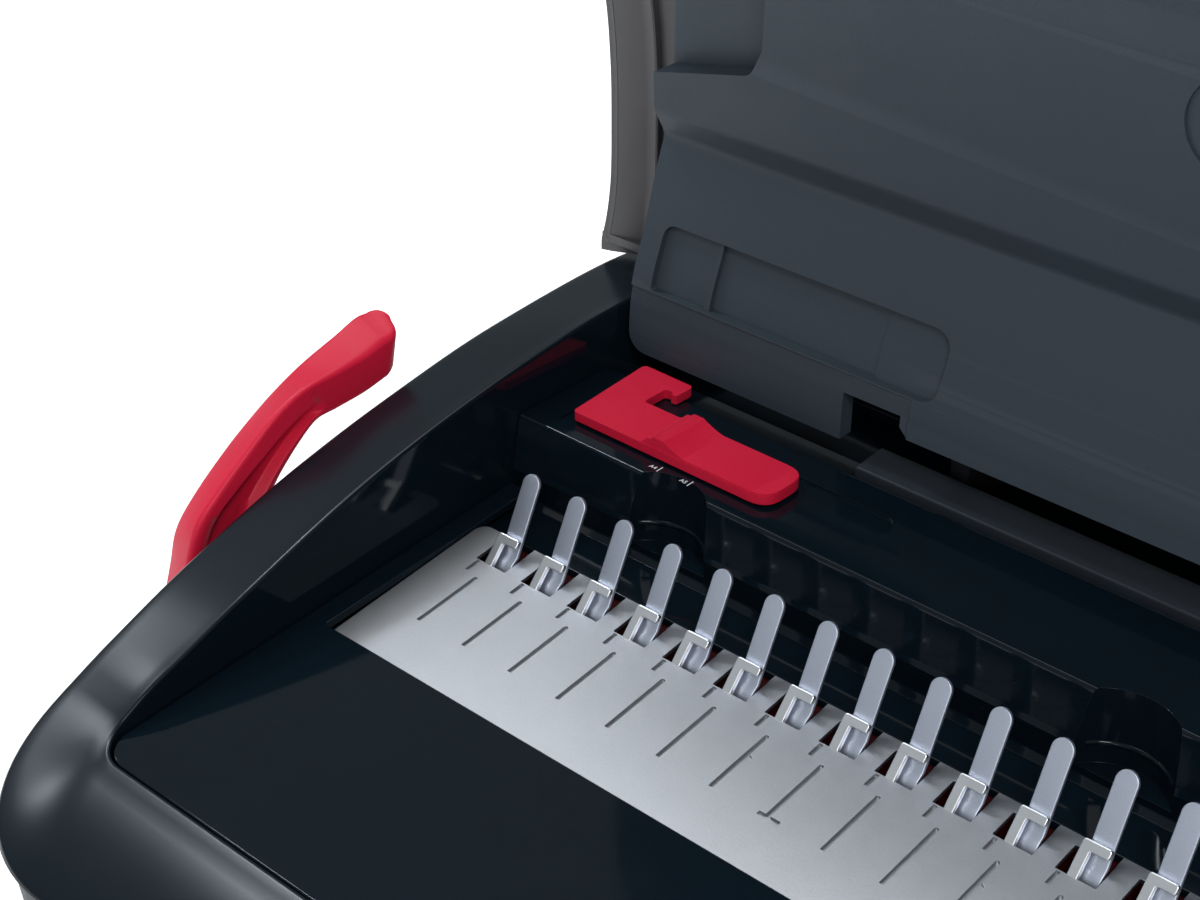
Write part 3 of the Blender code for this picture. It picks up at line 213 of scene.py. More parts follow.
# ---- shape helpers ------------------------------------------------------------------------------------
def arc(centre, radius, start, end, steps):
    angles = [math.radians(start + (end - start) * i / steps) for i in range(steps + 1)]
    return [(centre[0] + radius * math.cos(a), centre[1] + radius * math.sin(a)) for a in angles]


def smooth_curve(xs, ys):
    """Monotone cubic through a few points, so a sweep has no bumps between them."""
    xs = np.array(xs, float)
    ys = np.array(ys, float)
    step = np.diff(xs)
    slope = np.diff(ys) / step
    tangent = np.empty(len(xs))
    tangent[0] = slope[0]
    tangent[-1] = slope[-1]
    for i in range(1, len(xs) - 1):
        rising = slope[i - 1] * slope[i] > 0
        tangent[i] = 2 * slope[i - 1] * slope[i] / (slope[i - 1] + slope[i]) if rising else 0.0

    def value(x):
        x = min(max(x, xs[0]), xs[-1])
        i = min(int(np.searchsorted(xs, x, side="right")) - 1, len(xs) - 2)
        t = (x - xs[i]) / step[i]
        a = (1 + 2 * t) * (1 - t) ** 2 * ys[i]
        b = t * (1 - t) ** 2 * step[i] * tangent[i]
        c = t * t * (3 - 2 * t) * ys[i + 1]
        d = t * t * (t - 1) * step[i] * tangent[i + 1]
        return float(a + b + c + d)

    return value


def ease(t):
    t = min(max(t, 0.0), 1.0)
    return t * t * (3.0 - 2.0 * t)


def rounded(corners, steps=5):
    """Closed outline of (a, b, radius) corners, each rounded with its radius."""
    points = []
    count = len(corners)
    for i, (a, b, radius) in enumerate(corners):
        here = Vector((a, b))
        before = Vector(corners[i - 1][:2]) - here
        after = Vector(corners[(i + 1) % count][:2]) - here
        if radius <= 0.0:
            points.append((a, b))
            continue
        half = before.angle(after) / 2.0
        reach = min(radius / math.tan(half), before.length * 0.49, after.length * 0.49)
        start = here + before.normalized() * reach
        end = here + after.normalized() * reach
        for k in range(steps + 1):
            t = k / steps
            spot = start * (1 - t) ** 2 + here * 2 * t * (1 - t) + end * t * t
            points.append((spot.x, spot.y))
    return points


ALONG = {
    "X": Matrix(((0, 0, 1, 0), (1, 0, 0, 0), (0, 1, 0, 0), (0, 0, 0, 1))),
    "Y": Matrix(((0, 1, 0, 0), (0, 0, 1, 0), (1, 0, 0, 0), (0, 0, 0, 1))),
    "Z": Matrix.Identity(4),
}


def solid(bm):
    """Bare object, in millimetres, for more work."""
    bmesh.ops.recalc_face_normals(bm, faces=bm.faces[:])
    mesh = bpy.data.meshes.new("shape")
    bm.to_mesh(mesh)
    bm.free()
    thing = bpy.data.objects.new("shape", mesh)
    bpy.context.scene.collection.objects.link(thing)
    return thing


def add_prism(bm, outline, low, high, axis="X", matrix=None):
    turn = ALONG[axis] if matrix is None else matrix @ ALONG[axis]
    bottom = [bm.verts.new(turn @ Vector((a, b, low))) for a, b in outline]
    top = [bm.verts.new(turn @ Vector((a, b, high))) for a, b in outline]
    bm.faces.new(bottom[::-1])
    bm.faces.new(top)
    count = len(outline)
    for i in range(count):
        k = (i + 1) % count
        bm.faces.new((bottom[i], bottom[k], top[k], top[i]))


def prism(outline, low, high, axis="X", matrix=None):
    bm = bmesh.new()
    add_prism(bm, outline, low, high, axis, matrix)
    return solid(bm)


def add_loft(bm, rings, closed=False):
    rows = [[bm.verts.new(Vector(point)) for point in ring] for ring in rings]
    count = len(rows[0])
    for i in range(len(rows) if closed else len(rows) - 1):
        here = rows[i]
        there = rows[(i + 1) % len(rows)]
        for j in range(count):
            k = (j + 1) % count
            bm.faces.new((here[j], here[k], there[k], there[j]))
    if not closed:
        bm.faces.new(rows[0][::-1])
        bm.faces.new(rows[-1])


def combine(target, tool, operation="DIFFERENCE"):
    modifier = target.modifiers.new("step", "BOOLEAN")
    modifier.operation = operation
    modifier.solver = "EXACT"
    modifier.object = tool
    bpy.context.view_layer.update()
    graph = bpy.context.evaluated_depsgraph_get()
    mesh = bpy.data.meshes.new_from_object(target.evaluated_get(graph))
    target.modifiers.clear()
    target.data = mesh
    bpy.data.objects.remove(tool, do_unlink=True)


def soften(thing, width, segments=3, angle=34.0):
    bevel = thing.modifiers.new("soft_edges", "BEVEL")
    bevel.width = width * MM
    bevel.segments = segments
    bevel.limit_method = "ANGLE"
    bevel.angle_limit = math.radians(angle)
    bevel.harden_normals = True
    bevel.miter_outer = "MITER_ARC"


def settle(thing, name, look, body, stands_for=(), edge=0.0, segments=3, angle=34.0,
           frame_ready=False):
    """Name a finished shape, move it to the frame, and let it ride on its body in place of its CAD nodes."""
    thing.name = name
    thing.data.name = name
    if not frame_ready:
        thing.data.transform(TO_FRAME)
    thing.data.materials.clear()
    thing.data.materials.append(look)
    for polygon in thing.data.polygons:
        polygon.material_index = 0
    thing.data.shade_smooth()
    if edge > 0.0:
        soften(thing, edge, segments, angle)
    else:
        thing.data.set_sharp_from_angle(angle=math.radians(angle))
    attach(thing, body)
    if stands_for:
        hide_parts(*stands_for)


def refine(node, look, edge):
    """A CAD node again, welded, with its edges rounded, in the CAD's own place."""
    bm = bmesh.new()
    bm.from_mesh(nodes[node].data)
    bmesh.ops.remove_doubles(bm, verts=bm.verts[:], dist=0.000002)
    bmesh.ops.dissolve_limit(bm, angle_limit=math.radians(0.3), use_dissolve_boundaries=False,
                             verts=bm.verts[:], edges=bm.edges[:])
    thing = solid(bm)
    settle(thing, node + "_finished", look, nodes[node]["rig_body"], (node,), edge, segments=2,
           frame_ready=True)


# ---- casing -------------------------------------------------------------------------------------------
inner_edge_z = smooth_curve((-98.5, -94, -83, -72, -57.5, -15, 10, 37, 60, 80, 104),
                            (66.2, 67.6, 73.2, 77.4, 83.0, 96.5, 101.6, 105.4, 107.4, 107.6, 106.0))
crest_z = smooth_curve((-128, -112, -94, -79, -57, -24, 6, 43, 84, 110, 128),
                       (56.0, 59.5, 64.6, 71.3, 80.3, 91.0, 97.5, 103.0, 105.2, 103.0, 97.0))


def plan_loop(half, front, rear, front_corner, rear_corner, side_steps, end_steps, corner_steps):
    """Rounded rectangle seen from above, from the middle of the right side, anticlockwise."""
    points = []
    ys = np.linspace(front + front_corner, rear - rear_corner, side_steps + 1)
    xs = np.linspace(half - rear_corner, -half + rear_corner, end_steps + 1)
    points += [(half, y) for y in ys[:-1]]
    points += arc((half - rear_corner, rear - rear_corner), rear_corner, 0, 90, corner_steps)[:-1]
    points += [(x, rear) for x in xs[:-1]]
    points += arc((-half + rear_corner, rear - rear_corner), rear_corner, 90, 180, corner_steps)[:-1]
    points += [(-half, y) for y in ys[::-1][:-1]]
    points += arc((-half + front_corner, front + front_corner), front_corner, 180, 270, corner_steps)[:-1]
    xs = np.linspace(-half + front_corner, half - front_corner, end_steps + 1)
    points += [(x, front) for x in xs[:-1]]
    points += arc((half - front_corner, front + front_corner), front_corner, 270, 360, corner_steps)[:-1]
    return points


def rim_casing():
    """Glossy ring round the machine: a section swept round the plan, its heights rising towards the rear."""
    steps = (44, 14, 20)
    outer = plan_loop(BODY_HALF_WIDTH, BODY_FRONT_Y, BODY_REAR_Y, FRONT_CORNER, REAR_CORNER, *steps)
    inner = plan_loop(WALL_X, DECK_FRONT_Y, WELL_REAR_Y, 8.0, 1.5, *steps)
    rings = []
    for (ox, oy), (ix, iy) in zip(outer, inner):
        start = Vector((ox, oy))
        across = Vector((ix - ox, iy - oy))
        inward = across.normalized()
        width = across.length
        top_out = crest_z(oy)
        top_in = inner_edge_z(iy)
        swell = 0.05 + 0.8 * max(0.0, inward.y) ** 3

        def skin(share):
            return top_out + (top_in - top_out) * share + swell * math.sin(math.pi * share)

        profile = [(1.2, SEAM_Z, 0.5), (0.0, SEAM_Z + (top_out - SEAM_Z) * 0.6, 0.0),
                   (0.5, top_out + 0.1, 2.4)]
        profile += [(width * s, skin(s), 0.0) for s in (0.2, 0.3, 0.4, 0.5, 0.6, 0.7, 0.8, 0.9)]
        profile += [(width, top_in + 0.25, 0.9), (width, 60.0, 0.3), (width - 2.0, 60.0, 0.0),
                    (width - 2.2, top_in - 3.0, 0.0), (0.5 * width, skin(0.5) - 2.6, 0.0),
                    (4.0, max(SEAM_Z + 1.0, skin(0.15) - 4.0), 0.0), (3.8, SEAM_Z, 0.0)]
        ring = []
        for distance, height in rounded(profile, 5):
            spot = start + inward * distance
            ring.append((spot.x, spot.y, height))
        rings.append(ring)
    bm = bmesh.new()
    add_loft(bm, rings, closed=True)
    settle(solid(bm), "rim_casing", RIM_BLACK, "base", ("upper_casing",), angle=50.0)


def tub_casing():
    """Bottom tub: drafted walls, open to the drawer at the rear and to the lever's shaft at the side."""
    rings = []
    for inset, height in ((9.6, 3.0), (8.2, 3.3), (6.9, 4.4), (6.4, 6.0), (4.0, 29.8), (1.7, 53.0),
                          (2.0, 53.7), (4.2, 53.7), (6.6, 29.0), (9.1, 6.5)):
        loop = plan_loop(BODY_HALF_WIDTH - inset, BODY_FRONT_Y + inset, BODY_REAR_Y - inset,
                         FRONT_CORNER - inset, REAR_CORNER - inset, 6, 4, 16)
        rings.append([(x, y, height) for x, y in loop])
    bm = bmesh.new()
    add_loft(bm, rings)
    tub = solid(bm)
    combine(tub, prism(rounded([(-147.5, 8, 1.5), (147.5, 8, 1.5), (147.5, 37.5, 1.5), (-147.5, 37.5, 1.5)]),
                       100, 140, "Y", SWAP_XZ))
    combine(tub, prism(arc(SHAFT, 5.5, 0, 360, 40)[:-1], -200, -160))
    settle(tub, "tub_casing", MATTE_BLACK, "base", ("lower_casing",), angle=40.0)


# A face drawn as (x, z) and extruded along Y: prism's Y axis takes (z, x), so this turn swaps the two.
SWAP_XZ = Matrix(((0, 0, 1, 0), (0, 1, 0, 0), (1, 0, 0, 0), (0, 0, 0, 1)))


def deck_z(y):
    return PLATE_HEIGHT - 1.9 + math.tan(DECK_ANGLE) * (y + 39.0)


def deck():
    """Deck before the plate, with a strip along each of the plate's ends."""
    side = 161.5
    strip = 155.6
    front = -98.1
    rear = 26.0
    plate_front = -39.3
    corner = 7.6
    outline = arc((-side + corner, front + corner), corner, 180, 270, 12)
    outline += arc((side - corner, front + corner), corner, 270, 360, 12)
    outline += [(side, rear), (strip, rear), (strip, plate_front), (-strip, plate_front), (-strip, rear),
                (-side, rear)]
    thing = prism(outline, -2.1, 0.0, "Z")
    for vertex in thing.data.vertices:
        vertex.co.z += deck_z(vertex.co.y)
    settle(thing, "deck_panel", GLOSS_BLACK, "base", ("front_deck",), edge=0.45)


SCOOPS = (-113.0, 7.5, 128.0)
SCOOP_RADIUS = 13.0


def wall_and_shelf():
    """Front wall and shelf with thumb scoops, the guide's shallow track, and a bead at each scoop's foot."""
    profile = rounded([
        (14.2, 67.4, 0.0), (14.2, 69.2, 0.4), (26.6, 69.8, 0.0), (28.2, 71.2, 1.0), (27.0, 77.2, 0.6),
        (26.6, 78.6, 0.6), (27.2, 80.0, 0.6), (29.4, 91.2, 0.0), (29.8, SHELF_Z, 1.3), (61.4, SHELF_Z, 0.8),
        (61.4, 72.0, 0.0), (59.4, 72.0, 0.0), (59.4, 89.8, 0.0), (32.0, 89.8, 0.0), (29.6, 78.6, 0.0),
        (30.2, 70.6, 0.0), (28.4, 67.4, 0.0)], 5)
    cover = prism(profile, -COVER_HALF_WIDTH, COVER_HALF_WIDTH)
    for x in SCOOPS:
        combine(cover, prism(arc((x, 29.9), 12.0, 0, 180, 40), 71.0, SHELF_Z - 1.0, "Z"), "UNION")
        combine(cover, prism(arc((x, 21.0), SCOOP_RADIUS, 0, 360, 72)[:-1], 73.4, 100.0, "Z"))
    track = [(-153.5, 34.8), *arc((-72.0, 40.4), 5.6, -90, 0, 10), *arc((-69.6, 49.2), 3.2, 0, 90, 8),
             (-153.5, 52.4)]
    combine(cover, prism(track, SHELF_Z - 0.6, SHELF_Z + 3.0, "Z"))
    settle(cover, "wall_and_shelf", GLOSS_BLACK, "base", ("punch_cover",), edge=0.5)
    bm = bmesh.new()
    for x in SCOOPS:
        path = [(a, b, 78.4) for a, b in arc((x, 21.3), SCOOP_RADIUS, 38, 142, 30)]
        add_tube(bm, path, 0.75, 12)
    settle(solid(bm), "scoop_beads", GLOSS_BLACK, "base", ())


def add_tube(bm, path, radius, sides):
    """Round tube along a path of points."""
    rings = []
    for i, spot in enumerate(path):
        here = Vector(spot)
        ahead = Vector(path[min(i + 1, len(path) - 1)])
        behind = Vector(path[max(i - 1, 0)])
        along = (ahead - behind).normalized()
        helper = Vector((0, 0, 1)) if abs(along.z) < 0.9 else Vector((1, 0, 0))
        side = along.cross(helper).normalized()
        up = side.cross(along).normalized()
        rings.append([here + (side * math.cos(a) + up * math.sin(a)) * radius
                      for a in [2 * math.pi * k / sides for k in range(sides)]])
    add_loft(bm, rings)


def rear_covers():
    """Raised block behind the paper slot, and the lower ledge to its left."""
    block = rounded([(64.7, 71.0, 0), (64.7, SHELF_Z - 0.1, 0.7), (74.0, SHELF_Z + 0.5, 0),
                     (75.0, SHELF_Z + 0.5, 0.7), (75.0, 84.4, 0), (72.6, 84.4, 0), (72.6, 90.0, 0),
                     (67.2, 89.6, 0), (67.2, 71.0, 0)])
    settle(prism(block, -88.0, COVER_HALF_WIDTH), "raised_back_block", SHELF_MATTE, "base",
           ("paper_back_guide",), edge=0.35)
    ledge = rounded([(64.7, 71.0, 0), (64.7, 86.0, 0.6), (75.0, 86.0, 0), (75.0, 83.6, 0), (67.2, 83.6, 0),
                     (67.2, 71.0, 0)])
    settle(prism(ledge, -COVER_HALF_WIDTH, -88.3), "lower_back_ledge", GLOSS_BLACK, "base", ("throat_ledge",),
           edge=0.3)


# ---- comb plate, hooks and blades ---------------------------------------------------------------------
# Half the width of the window that each tine's blade stands in.
HALF = 4.565
SLOT_WIDTH = 1.05
FOOTED_SLOTS = (7, 13)
NOTCHED_SLOTS = (6, 10, 14)
GROOVE_DEPTH = 0.85


def comb_plate():
    """Sliding plate: a window right through for each blade, and a long slot and a short tail as grooves."""
    half = 155.3
    outline = [(-half, -46.0), (half, -46.0), *arc((half - 3, 7.2), 3.0, 0, 90, 6),
               *arc((-half + 3, 7.2), 3.0, 90, 180, 6)]
    plate = prism(outline, -1.0, 0.0, "Z")
    bm = bmesh.new()
    for i, x in enumerate(tine_x):
        right = x + HALF
        left = right - 4.6
        window = [(x - HALF, 0.0), (right, 0.0), (right, 7.44), (right - 0.1, 7.54), (right - 0.1, 12.2),
                  (right - 5.8, 12.2), (right - 5.8, 7.44), (x - HALF, 7.44)]
        add_prism(bm, window, -2.0, 1.0, "Z")
        tail = [(right - 8.5, -4.4), (right - 7.5, -4.4), (right - 7.5, -0.35), (right - 8.5, -0.35)]
        add_prism(bm, tail, -GROOVE_DEPTH, 1.0, "Z")
        end = arc((left + SLOT_WIDTH / 2, -5.6), SLOT_WIDTH / 2, 0, 180, 6)
        slot = [(left, -23.8), (left + SLOT_WIDTH, -23.8), *end]
        if i in FOOTED_SLOTS:
            slot = [(left, -22.9), (left - 1.6, -22.9), (left - 1.6, -23.9), (left + 3.8, -23.9),
                    (left + 3.8, -22.9), (left + SLOT_WIDTH, -22.9), *end]
        if i in NOTCHED_SLOTS:
            slot[2:2] = arc((left + SLOT_WIDTH, -13.4), 1.5, -90, 90, 12)
        add_prism(bm, slot, -GROOVE_DEPTH, 1.0, "Z")
    combine(plate, solid(bm))
    plate.data.transform(PLATE)
    settle(plate, "comb_plate", SATIN_STEEL, "opener", ("opener_plate",), edge=0.16,
           segments=2)


def comb_hooks():
    """One bent tab for each tine: a leg and an arm, 1.35 mm thick with rolled edges."""
    lean = Matrix.Translation((0.0, -0.2, 0.0)) @ Matrix.Rotation(math.radians(42.4), 4, "X")
    bm = bmesh.new()
    for x in tine_x:
        left = x + HALF - 6.47
        right = x + HALF
        outline = rounded([(left, -0.9, 0), (left + 2.33, -0.9, 0), (left + 2.33, 5.9, 0.45),
                           (right - 0.1, 5.9, 0.8), (right - 0.1, 8.1, 0.8), (left, 8.1, 0.8)], 5)
        add_prism(bm, outline, -1.35, 0.0, "Z", PLATE @ lean)
    hooks = solid(bm)
    settle(hooks, "comb_hooks", HOOK_STEEL, "opener", (), edge=0.32, segments=4)


def blades():
    """Steel blades on one strip. Each leans back, bends near its foot and has a rounded tip."""
    bm = bmesh.new()
    half_width = 2.55
    thick = 1.0
    lean = 0.633
    rise = 0.84
    path = [(0.35, -12.0), (0.35, -5.2), (0.45, -4.2), (0.8, -3.1), (1.35, -2.0), (2.05, -1.05), (2.9, -0.15)]
    tip_n = 17.6
    start_n = 0.9
    for share in np.linspace(0, 1, 5)[:-1]:
        n = start_n + (tip_n - 2.4 - start_n) * share
        path.append((4.1 + lean * n, n))
    for a in np.linspace(0, 86, 16):
        n = tip_n - half_width * rise * (1.0 - math.sin(math.radians(a)))
        path.append((4.1 + lean * n, n))
    for x in tine_x:
        centre = x + HALF - 2.95
        rings = []
        for i, (u, n) in enumerate(path):
            a = path[max(i - 1, 0)]
            b = path[min(i + 1, len(path) - 1)]
            along = Vector((b[0] - a[0], b[1] - a[1])).normalized()
            back = Vector((along.y, -along.x))
            left = max(0.0, (tip_n - n) / rise)
            half = half_width
            if left < half_width:
                half = math.sqrt(max(half_width ** 2 - (half_width - left) ** 2, 0.04))
            round_edge = min(0.36, half * 0.6)
            section = rounded([(-half, 0.0, round_edge), (half, 0.0, round_edge), (half, thick, round_edge),
                               (-half, thick, round_edge)], 4)
            rings.append([PLATE @ Vector((centre + s, u + back.x * t, n + back.y * t)) for s, t in section])
        add_loft(bm, rings)
    strip = rounded([(1.6, -16.0, 0.2), (2.6, -16.0, 0.2), (2.6, -9.0, 0.2), (1.6, -9.0, 0.2)], 2)
    add_prism(bm, strip, -BLADE_HALF_ROW, BLADE_HALF_ROW, "X", PLATE)
    settle(solid(bm), "blade_row", BLADE_STEEL, "base", ("blade_comb",), angle=42.0)


# ---- lever --------------------------------------------------------------------------------------------
def ellipse_quarter(a, b, wide, tall, start):
    angles = np.radians(np.linspace(start, start + 90, 7))
    return [(a + wide * math.cos(t), b + tall * math.sin(t)) for t in angles]


def lever():
    """Curved arm with a tapered groove in its outer side, a round boss on the shaft and a crossed screw."""
    inner_x = -189.8
    outer_x = -200.2
    sections = np.array([
        ((-57.5, 52.0), (-57.5, 54.0), (-34.0, 50.0)), ((-52.0, 62.0), (-53.5, 64.0), (-32.0, 61.0)),
        ((-48.8, 70.5), (-50.5, 75.0), (-29.5, 71.5)), ((-46.0, 79.0), (-46.5, 84.5), (-26.5, 78.8)),
        ((-39.4, 85.9), (-40.0, 90.4), (-23.5, 83.3)), ((-29.4, 93.4), (-30.5, 97.2), (-20.0, 87.4)),
        ((-19.8, 99.2), (-21.7, 103.0), (-14.6, 92.2)), ((-12.0, 103.2), (-12.8, 106.2), (-9.2, 95.8)),
        ((-4.0, 106.6), (-3.0, 106.6), (-3.0, 96.2)), ((6.1, 109.7), (6.0, 107.0), (5.0, 96.7)),
        ((12.0, 111.7), (11.5, 108.2), (10.6, 97.6)), ((17.6, 112.4), (16.6, 109.0), (14.6, 98.6)),
    ])
    count = len(sections)
    groove = [0.0, 0.05, 0.11, 0.16, 0.3, 0.5, 0.7, 0.84, 0.89, 0.95, 1.0]
    section = ellipse_quarter(0.83, 0.12, 0.17, 0.12, -90) + [(1.0, None)] * len(groove)
    section += ellipse_quarter(0.83, 0.87, 0.17, 0.13, 0)
    section += ellipse_quarter(0.16, 0.88, 0.16, 0.12, 90) + ellipse_quarter(0.16, 0.12, 0.16, 0.12, 180)
    rings = []
    for step in np.linspace(0, count - 1, 79):
        i = min(int(step), count - 2)
        t = step - i
        p0, p1, p2, p3 = (sections[min(max(k, 0), count - 1)] for k in (i - 1, i, i + 1, i + 2))
        outer_top, inner_top, bottom = 0.5 * (2 * p1 + (p2 - p0) * t + (2 * p0 - 5 * p1 + 4 * p2 - p3) * t * t
                                              + (3 * p1 - p0 - 3 * p2 + p3) * t ** 3)
        along = ease((step - 1.9) / 0.5) * ease((7.5 - step) / 0.9)
        wide = 0.80 - 0.36 * ease((step - 2.0) / 6.0)
        shares = iter(groove)
        ring = []
        for right, up in section:
            sunk = 0.0
            if up is None:
                share = next(shares)
                up = 0.16 + (wide - 0.16) * share
                sunk = 2.6 * along * ease(share / 0.16) * ease((1.0 - share) / 0.16)
            top = outer_top + (inner_top - outer_top) * right
            spot = bottom + (top - bottom) * up
            x = outer_x + (inner_x - outer_x) * right - sunk
            ring.append((x, spot[0], spot[1]))
        rings.append(ring)
    last = [Vector(point) for point in rings[-1]]
    middle = sum(last, Vector()) / len(last)
    back = Vector((0.0, 0.94, 0.34))
    rings = rings[:-5]
    for turn in np.radians((8, 20, 32, 44, 56, 67, 77, 85)):
        narrow = 0.12 + 0.88 * math.cos(turn) ** 0.85
        flat = 0.72 + 0.28 * math.cos(turn) ** 0.7
        move = back * (4.6 * math.sin(turn) - 2.2)
        ring = []
        for point in last:
            away = point - middle
            ring.append(middle + move + Vector((away.x * narrow, away.y * flat, away.z * flat)))
        rings.append(ring)
    bm = bmesh.new()
    add_loft(bm, rings)
    arm = solid(bm)
    boss = rounded_disc(SHAFT, 15.0, outer_x, inner_x, 1.2)
    combine(arm, boss, "UNION")
    combine(arm, rounded_disc(SHAFT, 10.0, outer_x - 1.0, outer_x + 3.0, 0.5), "UNION")
    combine(arm, prism(arc(SHAFT, 4.1, 0, 360, 40)[:-1], -210, -170))
    settle(arm, "hand_lever", RED, "lever", ("lever",), angle=48.0)
    screw = rounded_disc(SHAFT, 4.2, -205.4, -203.1, 0.9)
    for turn in (0, 90):
        a = math.radians(turn + 20)
        bar = [(-2.4, -0.45), (2.4, -0.45), (2.4, 0.45), (-2.4, 0.45)]
        spun = [(SHAFT[0] + p * math.cos(a) - q * math.sin(a), SHAFT[1] + p * math.sin(a) + q * math.cos(a))
                for p, q in bar]
        combine(screw, prism(spun, -206.5, -204.2))
    settle(screw, "lever_cross_screw", GROUND_STEEL, "lever", ("lever_screw",), angle=30.0)


def rounded_disc(centre, radius, low, high, fillet):
    """Disc along X with rounded rims."""
    sides = 64
    profile = [(radius - fillet + fillet * math.sin(a), low + fillet - fillet * math.cos(a))
               for a in np.linspace(0, math.pi / 2, 5)]
    profile += [(radius - fillet + fillet * math.cos(a), high - fillet + fillet * math.sin(a))
                for a in np.linspace(0, math.pi / 2, 5)]
    bm = bmesh.new()
    rings = []
    for r, x in profile:
        turns = [2 * math.pi * k / sides for k in range(sides)]
        rings.append([(x, centre[0] + r * math.cos(t), centre[1] + r * math.sin(t)) for t in turns])
    add_loft(bm, rings)
    return solid(bm)


# ---- lid ----------------------------------------------------------------------------------------------
corner_rise = smooth_curve((-124, -112, -100, -90, -80, -72, -60), (4.0, 5.0, 6.2, 6.6, 4.6, 2.2, 0.0))


def lip_curve():
    """The lip's depth up the open lid: the rim's crest and a clearance, turned back by the lid's travel."""
    vs = []
    ds = []
    for y in (58, 44, 30, 14, -8, -30, -52, -72, -90, -108, -124):
        height = crest_z(y) + 2.4 + 8.2 * ease((y + 60.0) / 75.0) + corner_rise(y)
        dy = y - LID_AXIS[0]
        dz = height - LID_AXIS[1]
        ds.append(LID_AXIS[0] + dy * math.cos(LID_TRAVEL) + dz * math.sin(LID_TRAVEL) - LID_DATUM[0])
        vs.append(LID_AXIS[1] - dy * math.sin(LID_TRAVEL) + dz * math.cos(LID_TRAVEL) - LID_DATUM[1])
    return smooth_curve(vs, ds)


lip_depth = lip_curve()
shell_depth = smooth_curve((0, 8, 60, 110, 150, 175, 192), (24, 24, 25, 24, 22, 18, 13))
panel_depth = smooth_curve((-10, 0.5, 10.8, 21.5, 32.7, 42.0), (-17.9, -17.5, -15.4, -11.5, -8.4, -5.2))
plateau_depth = smooth_curve((49, 100, 140, 176), (-8.7, -10.6, -16.0, -23.5))
SHELL_HALF_WIDTH = 186.0
SHELL_TOP = 192.0
SHELL_BOTTOM = 2.6
SHELL_CORNER = 38.0


def shell_half(v):
    """Half width of the shell at a height, narrowing round the top corners and flaring at the foot."""
    beyond = max(0.0, v - (SHELL_TOP - SHELL_CORNER))
    half = SHELL_HALF_WIDTH - (SHELL_CORNER - math.sqrt(max(SHELL_CORNER ** 2 - beyond ** 2, 0.0)))
    return half + 3.0 * max(0.0, 1.0 - (v - SHELL_BOTTOM) / 20.0) ** 2


def lid_shell():
    """Outer shell: a skin that rolls over to the lip at its edges, thickened inwards."""
    rows = 64
    columns = 96
    roll = 15.0
    bm = bmesh.new()
    grid = []
    for i in range(rows + 1):
        v = SHELL_BOTTOM + (SHELL_TOP - SHELL_BOTTOM) * (0.5 - 0.5 * math.cos(math.pi * i / rows))
        half = shell_half(v)
        row = []
        for j in range(columns + 1):
            across = -math.cos(math.pi * j / columns)
            x = half * (0.35 * across + 0.65 * math.copysign(abs(across) ** 0.72, across))
            edge = min(max(min(half - abs(x), v - SHELL_BOTTOM, SHELL_TOP - v), 0.0), roll)
            bulge = math.sqrt(max(roll ** 2 - (roll - edge) ** 2, 0.0)) / roll
            depth = lip_depth(v)
            if edge > 0.0:
                depth += shell_depth(v) * (0.04 + 0.96 * bulge)
            row.append(bm.verts.new((x, LID_DATUM[0] + depth, LID_DATUM[1] + v)))
        grid.append(row)
    for i in range(rows):
        for j in range(columns):
            bm.faces.new((grid[i][j], grid[i][j + 1], grid[i + 1][j + 1], grid[i + 1][j]))
    shell = solid(bm)
    middle = shell.data.polygons[len(shell.data.polygons) // 2]
    if middle.normal.y < 0:
        shell.data.flip_normals()
    thicken = shell.modifiers.new("thickness", "SOLIDIFY")
    thicken.thickness = 2.2
    thicken.offset = -1.0
    thicken.use_even_offset = True
    bpy.context.view_layer.update()
    graph = bpy.context.evaluated_depsgraph_get()
    mesh = bpy.data.meshes.new_from_object(shell.evaluated_get(graph))
    shell.modifiers.clear()
    shell.data = mesh
    settle(shell, "lid_shell", WARM_GREY, "lid", ("lid_outer_shell",), angle=50.0)


